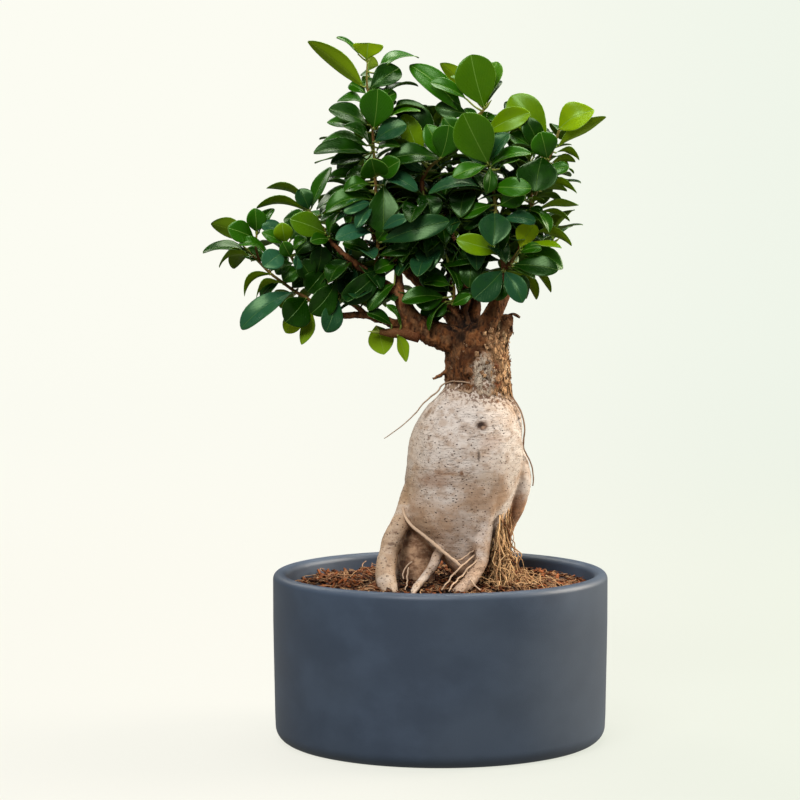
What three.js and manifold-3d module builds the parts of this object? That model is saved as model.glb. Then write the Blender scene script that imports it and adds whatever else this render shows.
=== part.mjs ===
// A ficus bonsai on a swollen rootstock, in a round ceramic pot. Millimetres, +Z up, front towards -Y.
// The origin is the centre of the pot's flat underside.
import * as THREE from "three";
import { mergeVertices } from "three/addons/utils/BufferGeometryUtils.js";
import Module from "manifold-3d";

const wasm = await Module();
wasm.setup();

// Driving dimensions of the pot and the mix in it
const potRadius = 100;
const potHeight = 101;
const potWall = 8;
const potTaper = 1.2;
const potCorner = 9;
const potFloor = 8;
const potSides = 36;
const mixBelowRim = 10;
const mixMound = 5;
const mixLump = 1.1;

// Joints between pieces and the general leaf
const gap = 0.3;
const smallestDetail = 0.03;
const leafWidth = 16;
const leafThickness = 1.2;
const leafArch = 0.1;
const stalkRadius = 0.8;
const stemSides = 5;
const barkSides = 7;
const rootSides = 7;
const graftHeight = 207;

// Shapes are written as they look from the front: u to the right and v up, on the plane y = 0, with a depth
// behind that plane. The eye stands here, so a place at depth d is moved along its own line of sight.
const eyeDistance = 1682;
const eyeHeight = 329;

function seen(u, v, depth) {
  const scale = 1 + depth / eyeDistance;
  return new THREE.Vector3(u * scale, depth, eyeHeight + (v - eyeHeight) * scale);
}

// Solids for joining and cutting
function solidOf(geometry) {
  const bare = geometry.clone();
  bare.deleteAttribute("normal");
  bare.deleteAttribute("uv");
  const merged = mergeVertices(bare, 1e-4);
  return new wasm.Manifold(
    new wasm.Mesh({
      numProp: 3,
      vertProperties: merged.attributes.position.array,
      triVerts: new Uint32Array(merged.index.array),
    }),
  );
}

function geometryOf(solid) {
  const mesh = solid.getMesh();
  const geometry = new THREE.BufferGeometry();
  geometry.setAttribute("position", new THREE.BufferAttribute(mesh.vertProperties, 3));
  geometry.setIndex(new THREE.BufferAttribute(mesh.triVerts, 1));
  geometry.computeVertexNormals();
  return geometry;
}

function join(solids) {
  return solids.reduce((sum, solid) => sum.add(solid));
}

function largestBody(solid) {
  return solid.decompose().reduce((best, body) => (body.volume() > best.volume() ? body : best));
}

// A closed skin over rings of points. Each ring has the same number of points; the last may be a tip
function loft(rings) {
  const sides = rings[0].length;
  const pointed = rings.at(-1).length === 1;
  const last = (rings.length - 1) * sides;
  const index = [];
  for (let k = 0; k + 1 < rings.length; k++) {
    for (let i = 0; i < sides; i++) {
      const a = k * sides + i;
      const b = k * sides + ((i + 1) % sides);
      if (pointed && k + 2 === rings.length) {
        index.push(a, b, last);
      } else {
        index.push(a, b, b + sides, a, b + sides, a + sides);
      }
    }
  }
  for (let i = 1; i + 1 < sides; i++) {
    index.push(0, i + 1, i);
    if (!pointed) {
      index.push(last, last + i, last + i + 1);
    }
  }
  const geometry = new THREE.BufferGeometry().setFromPoints(rings.flat());
  geometry.setIndex(index);
  return geometry;
}

// A round tube through points, with a radius at each
function tube(points, radii, sides) {
  const side = new THREE.Vector3(0.31, 0.87, -0.38);
  const rings = points.map((point, k) => {
    const before = points[Math.max(k - 1, 0)];
    const after = points[Math.min(k + 1, points.length - 1)];
    const along = after.clone().sub(before).normalize();
    side.addScaledVector(along, -side.dot(along)).normalize();
    const up = along.clone().cross(side);
    return Array.from({ length: sides }, (_, i) => {
      const angle = (2 * Math.PI * i) / sides;
      const out = side.clone().multiplyScalar(radii[k] * Math.cos(angle));
      return point.clone().add(out.addScaledVector(up, radii[k] * Math.sin(angle)));
    });
  });
  return solidOf(loft(rings));
}

// A stem, limb or root through rows of [u, v, depth, radius], thicker and longer by grow
function stem(rows, sides, grow = 0) {
  const points = rows.map(([u, v, depth]) => seen(u, v, depth));
  const [first, second] = points;
  const [beforeLast, last] = points.slice(-2);
  first.addScaledVector(first.clone().sub(second).normalize(), grow);
  last.addScaledVector(last.clone().sub(beforeLast).normalize(), grow);
  const radii = rows.map((row) => row[3] + grow);
  return tube(points, radii, sides);
}

// A body of level rings through rows of [height, centre, radius], as deep as flatness says
function bulb(rows, sides, depth, flatness, grow = 0) {
  const rings = rows.map(([height, centre, radius]) =>
    Array.from({ length: sides }, (_, i) => {
      const angle = (2 * Math.PI * i) / sides;
      const x = centre + (radius + grow) * Math.cos(angle);
      const y = depth + (radius * flatness + grow) * Math.sin(angle);
      return new THREE.Vector3(x, y, height);
    }),
  );
  return solidOf(loft(rings));
}

// The pot's section, closed on the axis: flat foot, rounded corner, wall, round lip, inner wall and floor
function arc(x, y, radius, from, to, steps) {
  return Array.from({ length: steps + 1 }, (_, i) => {
    const angle = from + ((to - from) * i) / steps;
    return new THREE.Vector2(x + radius * Math.cos(angle), y + radius * Math.sin(angle));
  });
}

function potGeometry() {
  const lip = potWall / 2;
  const inner = potRadius - potWall;
  const corner = potRadius - potTaper - potCorner;
  const profile = [
    new THREE.Vector2(0, 0),
    ...arc(corner, potCorner, potCorner, -Math.PI / 2, 0, 3),
    new THREE.Vector2(potRadius, potHeight / 2),
    ...arc(potRadius - lip, potHeight - lip, lip, 0, Math.PI, 6),
    ...arc(inner - potCorner, potFloor + potCorner, potCorner, 0, -Math.PI / 2, 2),
    new THREE.Vector2(0, potFloor),
  ];
  return new THREE.LatheGeometry(profile, potSides).rotateX(Math.PI / 2);
}

// The mix fills the pot's inside to a lumpy, slightly mounded top
function mixHeight(x, y) {
  const out = Math.hypot(x, y) / potRadius;
  const lumps = Math.sin(x / 7 + 1.3 * Math.sin(y / 9)) * Math.cos(y / 8 - 0.7 * Math.sin(x / 11));
  return potHeight - mixBelowRim + mixMound * (1 - out * out) + mixLump * lumps;
}

function mixGeometry() {
  const radius = potRadius - potWall - gap;
  const floor = potFloor + gap;
  const corner = potCorner;
  const top = [1, 0.84, 0.64, 0.44, 0.22, 0].map((share) => new THREE.Vector2(radius * share, potHeight));
  const profile = [
    new THREE.Vector2(0, floor),
    ...arc(radius - corner, floor + corner, corner, -Math.PI / 2, 0, 2),
    ...top,
  ];
  const geometry = new THREE.LatheGeometry(profile, potSides).rotateX(Math.PI / 2);
  const position = geometry.getAttribute("position");
  for (let i = 0; i < position.count; i++) {
    if (position.getZ(i) === potHeight) {
      position.setZ(i, mixHeight(position.getX(i), position.getY(i)));
    }
  }
  return geometry;
}

// The swollen rootstock: a bulb cut flat at the graft, a side lobe behind it, and the roots it stands on
const bulbRows = [
  [101, 15, 3],
  [106, 13.5, 7.5],
  [113, 10.5, 13],
  [121, 7.5, 20],
  [130, 8.2, 28.5],
  [140, 9.8, 32.2],
  [152, 12.2, 33.8],
  [165, 14.1, 34.9],
  [178, 15.3, 34.2],
  [189, 16.6, 31.3],
  [199, 18.6, 26.9],
  [204, 19.9, 23.2],
  [graftHeight, 21, 21.4],
];
const rootRows = {
  sideLobe: [
    [43, 180, 10, 3],
    [46, 170, 12, 6],
    [47.5, 158, 13, 8],
    [46.5, 148, 12, 7.5],
    [43.5, 138, 11, 6],
    [41, 129, 10, 4],
    [40, 120, 9, 2.5],
  ],
  leftLeg: [
    [-14, 147, -2, 6],
    [-19, 138, -6, 5.5],
    [-25, 128, -11, 5.8],
    [-29, 119, -17, 6.2],
    [-32, 110, -24, 6.4],
    [-33, 102, -30, 6.4],
    [-31.5, 93, -36, 6],
    [-29, 83, -40, 5.5],
  ],
  legKnob: [
    [-29, 118, -15, 3.5],
    [-26, 114.5, -13, 4],
    [-25, 111, -12, 2.5],
  ],
  innerLobe: [
    [-10, 132, 2, 7],
    [-13, 121, 0, 8.6],
    [-13, 110, -2, 9.2],
    [-12.5, 100, -4, 8.4],
    [-11, 88, -6, 7],
  ],
  frontRoot: [
    [4, 122, -11, 3.4],
    [1, 115, -17, 3.8],
    [-2, 110, -21, 3.9],
    [-4.5, 104, -26, 3.2],
    [-9, 97, -31, 2.9],
    [-14, 90.5, -36, 2.6],
    [-17, 85, -39, 2.2],
  ],
  rightLeg: [
    [24, 136, -14, 5],
    [26.5, 128, -18, 4.4],
    [27, 118, -21, 4.1],
    [26.2, 110, -24, 4],
    [23.5, 103.5, -28, 4.2],
    [18.5, 96.5, -32, 4.4],
    [13.5, 89.5, -36, 4.5],
    [9, 83, -39, 4],
  ],
};

function rootstockSolid(grow = 0) {
  const roots = Object.values(rootRows).map((rows) => stem(rows, rootSides, grow));
  const stock = bulb(bulbRows, 20, 3, 0.94, grow);
  return join([stock, ...roots]);
}

// The grafted trunk: a rough neck with a cut stub, and the limbs that rise from it
const neckRows = [
  [graftHeight + gap, 21.5, 20.6],
  [213, 22.8, 19.4],
  [222, 22.6, 19.4],
  [231, 22.4, 19],
  [238, 22.6, 17.6],
  [245, 22.5, 14],
  [249, 22, 9],
];
const limbRows = {
  cutStub: [
    [36, 226, 0, 5],
    [38, 238, 0, 5.6],
    [39, 248, 0, 5.4],
    [38.5, 254.5, 0, 5],
  ],
  twigStub: [
    [6, 221.5, -2, 1.6],
    [1, 219.5, -3, 1.5],
    [-5, 217, -4, 1.5],
  ],
  leftLimb: [
    [18, 236, -1, 9.5],
    [8, 239.5, -2, 7.6],
    [-1, 241, -3, 6.4],
    [-9, 244, -4, 6.3],
    [-15, 249, -5, 5.8],
    [-20, 255, -6, 4.9],
    [-24, 263, -6, 4.2],
    [-30, 270, -6, 3.5],
    [-40, 277, -6, 2.8],
    [-50, 284.5, -7, 2.3],
    [-57, 290, -8, 1.9],
    [-64.5, 297.5, -9, 1.5],
  ],
  lowerLimb: [
    [-8, 243, -5, 5],
    [-16, 245, -7, 4.6],
    [-23, 247.5, -8, 4.1],
    [-30, 250, -9, 3.6],
    [-38, 252.3, -9, 3.2],
    [-46, 254.3, -8, 2.6],
    [-54, 254, -7, 2],
    [-62, 254, -6, 1.6],
  ],
  uprightStub: [
    [-24, 264, -5, 3.2],
    [-24.5, 276, -3, 2.4],
    [-26.5, 286, -2, 1.9],
  ],
  centreLimb: [
    [14, 240, 3, 7],
    [8, 252, 5, 4.4],
    [3, 261, 6, 3.6],
    [-3, 270, 6, 3.1],
    [-5, 280, 5, 2.7],
    [-6.5, 292, 3, 2.4],
    [-8, 306, 0, 2.2],
    [-10, 322, -3, 1.9],
    [-11, 334, -5, 1.6],
  ],
  innerLimb: [
    [20, 241, 4, 7],
    [20, 254, 5, 4.2],
    [21, 264, 6, 3.2],
    [20.5, 275, 6, 2.5],
    [21, 289, 5, 2.2],
    [20, 303, 4, 2],
    [18.5, 319, 3, 1.8],
    [20, 336, 2, 1.6],
    [22, 352, 1, 1.3],
  ],
  rightLimb: [
    [24, 232, -3, 8.5],
    [26, 243, -4, 6.6],
    [29, 251, -5, 5.7],
    [33.3, 260, -6, 5.1],
    [36, 270, -7, 4.2],
    [38, 279, -8, 3.4],
  ],
  backLeftLimb: [
    [16, 238, 8, 7],
    [6, 255, 20, 5],
    [-8, 270, 32, 4],
    [-24, 284, 42, 3.2],
    [-40, 296, 48, 2.4],
  ],
  backLimb: [
    [20, 240, 9, 7],
    [17, 256, 22, 4.8],
    [12, 276, 34, 3.8],
    [6, 300, 42, 3],
    [2, 326, 46, 2.4],
  ],
  backRightLimb: [
    [26, 238, 8, 7],
    [32, 254, 20, 5],
    [40, 272, 32, 4],
    [47, 292, 40, 3],
    [52, 312, 44, 2.2],
  ],
};

function trunkSolid(grow = 0) {
  const limbs = Object.values(limbRows).map((rows) => stem(rows, barkSides, grow));
  return join([bulb(neckRows, 18, 2, 0.94, grow), ...limbs]);
}

// One leaf: a short stalk from the stem, and a blade arched over its back with a keel under its midrib.
// The blade's fullness is given at shares of its length. The boxed section makes the leaf's clearance.
const bladeStations = [
  [0.34, 0.86],
  [0.7, 0.96],
];

function keeled(centre, across, face, half, depth) {
  return [
    centre.clone().addScaledVector(across, -half),
    centre.clone().addScaledVector(face, -depth),
    centre.clone().addScaledVector(across, half),
  ];
}

function boxed(centre, across, face, half, depth) {
  const corners = [
    [-1, gap],
    [-1, -depth - gap],
    [1, -depth - gap],
    [1, gap],
  ];
  return corners.map(([side, lift]) =>
    centre
      .clone()
      .addScaledVector(across, side * (half + gap))
      .addScaledVector(face, lift),
  );
}

function leafSolid({ root, base, tip, face, width, arch }, section) {
  const blade = tip.clone().sub(base);
  const across = face.clone().cross(blade).normalize();
  const rings = [
    section(root, across, face, stalkRadius, 2 * stalkRadius),
    section(base, across, face, stalkRadius, 2 * stalkRadius),
  ];
  for (const [share, fullness] of bladeStations) {
    const lift = 4 * arch * share * (1 - share) * blade.length();
    const centre = base.clone().addScaledVector(blade, share).addScaledVector(face, lift);
    rings.push(section(centre, across, face, (width / 2) * fullness, leafThickness));
  }
  rings.push([tip.clone().addScaledVector(face, -leafThickness / 2)]);
  return solidOf(loft(rings));
}

// The upper side of a leaf faces the eye at turn 0 and the sky at turn 90
function facing(blade, turn) {
  const along = blade.clone().normalize();
  const eyeward = new THREE.Vector3(0, -1, 0);
  eyeward.addScaledVector(along, -eyeward.dot(along)).normalize();
  const skyward = along.clone().cross(eyeward);
  const steep = Math.abs(skyward.z) < 0.25;
  if (steep ? skyward.x < 0 : skyward.z < 0) {
    skyward.negate();
  }
  const angle = THREE.MathUtils.degToRad(turn);
  return eyeward.multiplyScalar(Math.cos(angle)).addScaledVector(skyward, Math.sin(angle));
}

// The nearest place on a stem where a stalk can start, a little in from the ends of its straight lengths
const nodeMargin = 0.12;
const nodeSharpness = 4;

function nearestOnStem(rows, target) {
  const points = rows.map(([u, v, depth]) => seen(u, v, depth));
  const line = new THREE.Line3();
  let best = points[0];
  for (let i = 0; i + 1 < points.length; i++) {
    line.set(points[i], points[i + 1]);
    const offset = line.closestPointToPointParameter(target, false) - 0.5;
    const share = nodeMargin + (1 - 2 * nodeMargin) / (1 + Math.exp(-nodeSharpness * offset));
    const near = line.at(share, new THREE.Vector3());
    if (near.distanceTo(target) < best.distanceTo(target)) {
      best = near;
    }
  }
  return best;
}

// A leaf read from the front: base u, v, tip u, v, depth of the base, reach of the tip behind it,
// turn, width, arch
function leafFromRow(rows, [u0, v0, u1, v1, depth, reach, turn, width = leafWidth, arch = leafArch]) {
  const base = seen(u0, v0, depth);
  const tip = seen(u1, v1, depth + reach);
  const face = facing(tip.clone().sub(base), turn);
  return { root: nearestOnStem(rows, base), base, tip, face, width, arch };
}

// Leaves set round a stem by the golden angle, for the side of the crown away from the front
const goldenAngle = 137.5;

function pointAlong(rows, share) {
  const points = rows.map(([u, v, depth]) => seen(u, v, depth));
  const place = share * (points.length - 1);
  const k = Math.min(Math.floor(place), points.length - 2);
  return points[k].clone().lerp(points[k + 1], place - k);
}

function ruledLeaves(rows, { count, from, sweep, phase }) {
  return Array.from({ length: count }, (_, i) => {
    const share = (i + 1) / count;
    const turnRound = ((i * goldenAngle + phase) % 360) / 360;
    const heading = THREE.MathUtils.degToRad(from + sweep * turnRound);
    const climb = THREE.MathUtils.degToRad(12 + 30 * share + 14 * Math.sin(5 * i + phase));
    const length = 27 + 4 * Math.sin(3 * i + phase);
    const root = pointAlong(rows, 0.15 + 0.8 * share);
    const out = new THREE.Vector3(
      Math.cos(heading) * Math.cos(climb),
      Math.sin(heading) * Math.cos(climb),
      Math.sin(climb),
    );
    const base = root.clone().addScaledVector(out, 6);
    const tip = base.clone().addScaledVector(out, length);
    const face = new THREE.Vector3(0, 0, 1).addScaledVector(out, -out.z).normalize();
    return { root, base, tip, face, width: leafWidth, arch: 0.14 };
  });
}

// The leafy shoots. Each has its stem as rows of [u, v, depth, radius], its leaves as rows for leafFromRow;
// ring adds ruled leaves: how many, the first heading, the sweep of headings and a phase, in degrees.
const shoots = {
  leader_low: {
    stem: [
      [-39, 278, -8, 1.5],
      [-37.5, 290, -9, 1.4],
      [-37, 300, -10, 1.4],
      [-37.5, 312, -11, 1.3],
      [-38, 322, -12, 1.3],
    ],
    leaves: [
      [-42, 302.5, -62, 299, -20, -8, 40, 11, 0.12],
      [-38, 298, -32, 305.5, -17, -3, 10, 8],
      [-33, 304, -18.5, 312.5, -28, -4, 20, 7],
      [-34, 296.5, 5.5, 310, -24, -4, 15, 14],
      [-36, 289, -13, 294, -14, 2, 30, 10],
      [-43, 291, -58, 297, -10, 0, 30, 10],
      [-43, 320, -57, 315, -24, -4, 30, 9],
      [-42, 318, -50, 306, -24, -4, 10, 8],
    ],
  },
  leader_mid: {
    stem: [
      [-38, 322, -12, 1.3],
      [-38.5, 336, -12, 1.2],
      [-39.5, 352, -11, 1.1],
    ],
    leaves: [
      [-38.5, 337, -41, 347, -22, -14, 0, 17],
      [-35, 337.5, -24, 345.5, -20, -8, 20, 13],
      [-44, 336, -57, 334.5, -6, 0, 55, 13, 0.2],
      [-43, 331, -57, 327.5, -16, -4, 45, 12, 0.22],
      [-43, 327, -54.5, 325, -10, 0, 40, 9, 0.15],
      [-43, 322.5, -68, 315, -18, -4, 45, 15, 0.18],
      [-50, 333, -72, 329, 3, 2, 60, 12, 0.22],
      [-50, 328, -73.5, 317, -1, 0, 60, 12, 0.16],
      [-34, 337.5, -13.5, 328, -20, -4, 45, 12],
      [-30, 331.5, -34, 303, -16, -6, 0, 19, 0.05],
      [-45, 349, -61, 339, 8, 4, 20, 12],
    ],
  },
  leader_upper: {
    stem: [
      [-39.5, 352, -11, 1.1],
      [-40, 362, -11, 1],
      [-41, 372, -11, 1],
      [-42, 380, -11, 0.9],
    ],
    leaves: [
      [-38.8, 365, -37, 388, -22, -3, 0, 21.5, 0.05],
      [-48, 379, -61, 380.5, -8, 0, 65, 14],
      [-45, 366.5, -66, 376, -15, -4, 45, 15],
      [-47, 362, -67, 368.5, -8, 4, 45, 12],
      [-43, 355, -57, 366, -22, -6, 60, 12],
      [-38, 357, -20, 366.8, -20, -2, 30, 14],
      [-36.5, 364.5, -12, 375.5, -13, -8, 78, 13, 0.14],
      [-46, 354.5, -70, 356.5, -5, 0, 50, 13],
      [-44, 348, -75, 350.5, -19, -2, 55, 17, 0.1],
      [-50, 345.5, -74.5, 344.5, 5, 4, 85, 11, 0.04],
      [-46, 342, -65, 344, -15, -2, 45, 12, 0.14],
      [-36.5, 349, -24, 354, -17, -5, 65, 10, 0.25],
      [-33, 357, -20, 355, -6, 0, 50, 9],
    ],
    ring: { count: 1, from: 55, sweep: 70, phase: 150 },
  },
  leader_tip: {
    stem: [
      [-42, 380, -11, 0.9],
      [-43.5, 393, -11, 0.8],
      [-43, 404, -11, 0.7],
    ],
    leaves: [
      [-47, 390, -77.5, 415, -9, 4, 48, 19, 0.1],
      [-44, 404, -58.5, 418, -11, -3, 40, 10],
      [-43, 405, -47.5, 415, -12, -8, 0, 12],
      [-42, 404.5, -34, 413, -12, -4, 10, 12],
      [-40.5, 389, -22, 401, -7, 6, 20, 16],
      [-38, 396, -13, 406, 2, 8, 78, 13, 0.14],
      [-45, 385, -53.5, 391, -6, 4, 20, 10],
      [-36, 379, -26, 385.5, -8, 2, 10, 9],
      [-41, 395, -37, 402, -4, 24, 85, 13],
    ],
  },
  upper_left: {
    stem: [
      [-64.5, 297.5, -9, 1.4],
      [-68, 302, -10, 1.2],
      [-72, 309, -10, 1.1],
      [-78, 316, -9, 0.9],
    ],
    leaves: [
      [-68, 303, -89, 311, -24, -6, 10, 14],
      [-66, 298, -77, 298, -22, -6, 30, 8],
      [-69, 301.5, -81, 304.5, -14, 0, 45, 9],
      [-64.5, 301, -60.5, 314.5, -18, -2, 60, 9],
      [-77.5, 317, -83.5, 329, -10, 0, 10, 11],
      [-80, 321, -103, 329, -3, -4, 68, 13, 0.2],
      [-82, 316.5, -109, 317.5, -8, -4, 62, 14, 0.18],
      [-75.5, 318.5, -65, 342, -5, 0, 50, 12, 0.04],
      [-79, 307, -93, 311, 4, 0, 30, 11],
    ],
    ring: { count: 1, from: 55, sweep: 70, phase: 220 },
  },
  far_left: {
    stem: [
      [-62, 254, -6, 1.6],
      [-71, 258, -8, 1.5],
      [-79, 264, -9, 1.4],
      [-86, 268, -9, 1.3],
      [-93, 273, -10, 1.2],
      [-101, 279, -10, 1.1],
      [-107, 285, -10, 1],
      [-113, 291, -10, 0.9],
    ],
    leaves: [
      [-115, 291.8, -141, 291.5, -10, -4, 66, 13, 0.14],
      [-113, 288.5, -131.5, 283, -14, -4, 68, 12, 0.22],
      [-98, 291, -119.5, 296.5, -18, -4, 62, 12, 0.2],
      [-100, 288, -117, 292, -6, 2, 35, 10],
      [-101, 278.5, -116.5, 265.5, -13, -4, 66, 12, 0.22],
      [-93, 272.5, -109.5, 264.5, -12, -2, 72, 11, 0.25],
      [-88, 266.8, -117, 245, -15, -8, 35, 16, 0.1],
      [-80, 264, -92, 250, -17, -4, 10, 20],
      [-83, 257, -92, 243.5, -8, -4, 10, 12],
      [-79, 257, -82.5, 236.5, -14, -4, 25, 9.5],
    ],
    ring: { count: 2, from: 55, sweep: 70, phase: 60 },
  },
  far_left_upright: {
    stem: [
      [-107, 285, -10, 1],
      [-109.5, 294, -10, 0.9],
      [-109, 302, -9, 0.8],
    ],
    leaves: [
      [-118, 297.5, -136, 308.5, -6, 4, 150, 13],
      [-112, 300.5, -126, 306, -16, -6, 20, 13],
      [-109.5, 305, -110, 317.5, -10, -3, 15, 12],
      [-106.5, 304, -99, 317.5, -5, 0, 40, 9],
    ],
    ring: { count: 1, from: 55, sweep: 70, phase: 300 },
  },
  left_middle: {
    stem: [
      [-44, 254, -8, 2.2],
      [-50, 259.5, -8, 2.1],
      [-57, 264, -7, 1.9],
      [-68, 271, -8, 1.6],
      [-79, 279, -10, 1.4],
      [-87, 286, -12, 1.2],
      [-91, 296, -13, 1],
    ],
    leaves: [
      [-96, 290, -105, 283, -26, -6, 10, 13],
      [-89, 288, -93.5, 297.5, -26, -3, 5, 9],
      [-87, 292, -79.5, 299.5, -22, -3, 55, 9],
      [-93, 298.5, -94, 309, -20, -3, 0, 11],
      [-92, 308, -106, 307, -11, -2, 40, 10],
      [-95, 296, -106, 303, -17, -3, 45, 9],
      [-84, 291, -86, 281.5, -24, -2, 40, 7],
      [-87, 301, -83, 312, -5, 0, 10, 13],
      [-58, 280, -77, 255, -22, -4, 10, 16],
      [-60, 267, -72, 256, -14, -2, 10, 13],
      [-61, 262, -68, 244, -22, -4, 5, 13],
      [-66, 284, -79, 268, -10, -2, 10, 15],
    ],
  },
  under_limb: {
    stem: [
      [-15, 240, -9, 1.9],
      [-24, 241.5, -12, 1.7],
      [-31, 242.5, -13, 1.4],
      [-37, 245, -13, 1.1],
    ],
    leaves: [
      [-37.5, 247, -34.5, 231, -17, -3, 0, 15],
      [-22, 240, -20.3, 226.5, -16, -2, 35, 8.5],
      [-22, 251.5, -33, 261, -20, -4, 55, 8],
    ],
  },
  inner_left: {
    stem: [
      [-26.5, 286, -2, 1.8],
      [-29, 294, -1, 1.3],
      [-31, 304, 1, 1],
    ],
    leaves: [
      [-42, 278, -58.5, 262, -17, -4, 15, 15],
      [-26, 283, -39, 280, -11, -3, 30, 10],
      [-28, 262, -43, 257, -17, -2, 35, 9],
    ],
    ring: { count: 2, from: 55, sweep: 70, phase: 200 },
  },
  centre_node: {
    stem: [
      [-11, 334, -5, 1.5],
      [-7, 341, -9, 1.3],
      [0, 347, -12, 1.1],
    ],
    leaves: [
      [0, 347.5, -8, 367, -15, 0, 10, 12],
      [0.7, 347.5, 5, 366.5, -24, -4, 0, 16.5, 0.05],
      [-1.5, 346, -33, 345, -17, -2, 40, 16, 0.2],
      [-12, 338, -28, 338, -10, -4, 40, 11, 0.22],
      [-12.5, 340, -22, 346, -12, -2, 20, 7],
      [-15, 351, -22, 373, -9, -3, 10, 13],
      [-17.5, 352, -27, 365, -4, 0, 30, 12],
      [-5, 362, -25, 381, 1, -3, 15, 18],
    ],
  },
  inner_top: {
    stem: [
      [22, 352, 1, 1.3],
      [22, 362, 0, 1.2],
      [22, 371, -1, 1.1],
      [26, 376, -2, 1],
    ],
    leaves: [
      [26, 378, 18, 408, -4, -2, 0, 24, 0.05],
      [7.5, 388, -6, 391.5, -6, 0, 40, 11],
      [28.5, 386, 33.5, 404, 5, 2, 25, 13],
      [13, 391, 0, 403, 10, 4, 150, 11],
      [16, 388, 6.5, 395.5, 3, 2, 60, 8],
      [31, 361.5, 53, 374, -8, -3, 10, 14],
      [11, 375, -3, 377.5, 2, 0, 10, 11],
      [9, 353, 2, 371, -8, 0, 5, 13],
      [6, 376, -18, 402, 2, 4, 25, 15],
      [28, 361, 28, 374.5, 5, 2, 0, 14],
      [17, 364, 15, 376.7, 3, 2, 0, 10],
    ],
    ring: { count: 1, from: 55, sweep: 70, phase: 100 },
  },
  right_leader_low: {
    stem: [
      [38, 281, -8, 2.2],
      [36, 292, -10, 1.7],
      [34, 303, -11, 1.5],
      [33, 315, -12, 1.4],
      [32, 325, -13, 1.3],
    ],
    leaves: [
      [31.5, 314, 31, 295.5, -28, -5, 0, 20, 0.05],
      [29, 319, 12, 312.5, -18, -3, 35, 10],
      [27, 316, 14, 305.5, -13, -2, 20, 10],
      [37, 319, 50, 327, -20, -2, 10, 12],
      [36, 291, 9.5, 299, -16, -4, 10, 12.5],
      [33, 287, 0, 284, -4, 0, 50, 14, 0.12],
      [36, 279, 19.5, 263, -20, -4, 0, 17, 0.06],
      [40, 274, 33, 263, -10, -2, 0, 10],
      [38.5, 279, 49, 261.5, -20, -4, 5, 13],
      [40, 311, 56.5, 309.5, -18, -2, 40, 10, 0.14],
      [18, 262, 6, 260, 0, 0, 30, 8],
    ],
  },
  right_leader_top: {
    stem: [
      [32, 325, -13, 1.3],
      [30, 335, -14, 1.2],
      [28.5, 343, -15, 1.1],
    ],
    leaves: [
      [28, 345, 13.5, 373.5, -28, -5, 0, 25, 0.05],
      [30, 346, 41, 361.5, -18, -3, 62, 13],
      [31, 342.5, 53.5, 350, -22, -4, 58, 12],
      [32, 329.5, 54, 329, -26, -4, 20, 12, 0.12],
      [27, 327, -7, 326, -22, -3, 60, 14, 0.18],
      [26.5, 342.5, 7.5, 336, -26, -4, 35, 11],
      [26, 343, 11.5, 347, -15, 0, 35, 10],
      [30, 341, 28, 326.5, -24, -2, 20, 9],
      [39.5, 341, 46.5, 346.5, -25, -3, 70, 7],
    ],
  },
  right_low: {
    stem: [
      [39, 282, -8, 2],
      [43, 287, -8, 1.5],
      [47, 293, -8, 1.1],
    ],
    leaves: [
      [48, 295, 56, 308, -14, -3, 160, 14],
      [48, 293, 72, 294, -16, -3, 76, 12, 0.08],
      [48.5, 290.5, 60, 293.5, -21, -2, 40, 8],
      [50, 290, 73, 282, -10, 0, 35, 14, 0.15],
      [44, 283, 70, 281, -22, -3, 30, 13, 0.1],
      [43, 281, 56.5, 276, -15, 0, 50, 9],
      [47, 284, 66, 268, 3, 2, 82, 9],
      [46, 281, 57.3, 263.5, 5, 3, 72, 8],
    ],
  },
  right_stem_low: {
    stem: [
      [47, 293, -8, 1.7],
      [50, 304, -7, 1.6],
      [54, 318, -6, 1.4],
      [58, 331, -6, 1.2],
    ],
    leaves: [
      [60, 302, 78, 295.5, -5, 0, 50, 10, 0.15],
      [57, 305, 70, 303, 3, 2, 60, 8],
      [60, 330.5, 81, 326.5, -10, -2, 62, 11, 0.16],
      [62, 327, 75, 327.7, 6, 2, 75, 9],
      [57, 324, 72.5, 321.8, -4, 0, 68, 10, 0.15],
      [54, 321, 61.5, 322.5, -12, 0, 110, 9],
      [60, 316, 82, 319.5, -8, -2, 62, 11, 0.08],
      [60, 313.5, 76.8, 310, -1, 0, 78, 10, 0.15],
      [58, 314, 65.5, 308, -14, 0, 20, 7],
      [53, 317, 64.5, 303, -16, -3, 55, 10, 0.2],
      [49, 317, 60.5, 313, -11, -1, 20, 9],
      [59, 334, 66.5, 335, -4, 0, 40, 6],
    ],
    ring: { count: 1, from: 55, sweep: 70, phase: 200 },
  },
  right_stem_top: {
    stem: [
      [58, 331, -6, 1.2],
      [63, 343, -6, 1.1],
      [67, 353, -6, 1],
      [71, 366, -6, 0.9],
    ],
    leaves: [
      [57, 349.5, 56.5, 327.5, -24, -8, -5, 24, 0.05],
      [62.5, 347.5, 59.5, 362.5, -20, -3, 5, 15.5],
      [70, 364, 91, 374.5, -8, -3, 25, 18, 0.12],
      [71, 356, 98, 371, -9, -2, 55, 13, 0.05],
      [69.5, 349.8, 82.3, 346, -4, 0, 68, 10, 0.2],
      [67, 343.5, 80, 345, 3, 2, 65, 10, 0.12],
      [65, 341, 76, 342.5, 7, 3, 55, 9],
      [61.5, 337.5, 76.3, 342, -10, -2, 40, 9],
      [70, 340.5, 79, 338.5, 12, 3, 75, 7],
      [55, 350, 41, 361, -5, 0, 30, 12],
      [60, 357, 42, 384, -1, 2, 10, 21, 0.06],
      [54.5, 352, 50, 371, -10, -2, 10, 12],
      [46, 366, 38, 380, 5, 3, 10, 12],
    ],
    ring: { count: 1, from: 55, sweep: 70, phase: 250 },
  },
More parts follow.
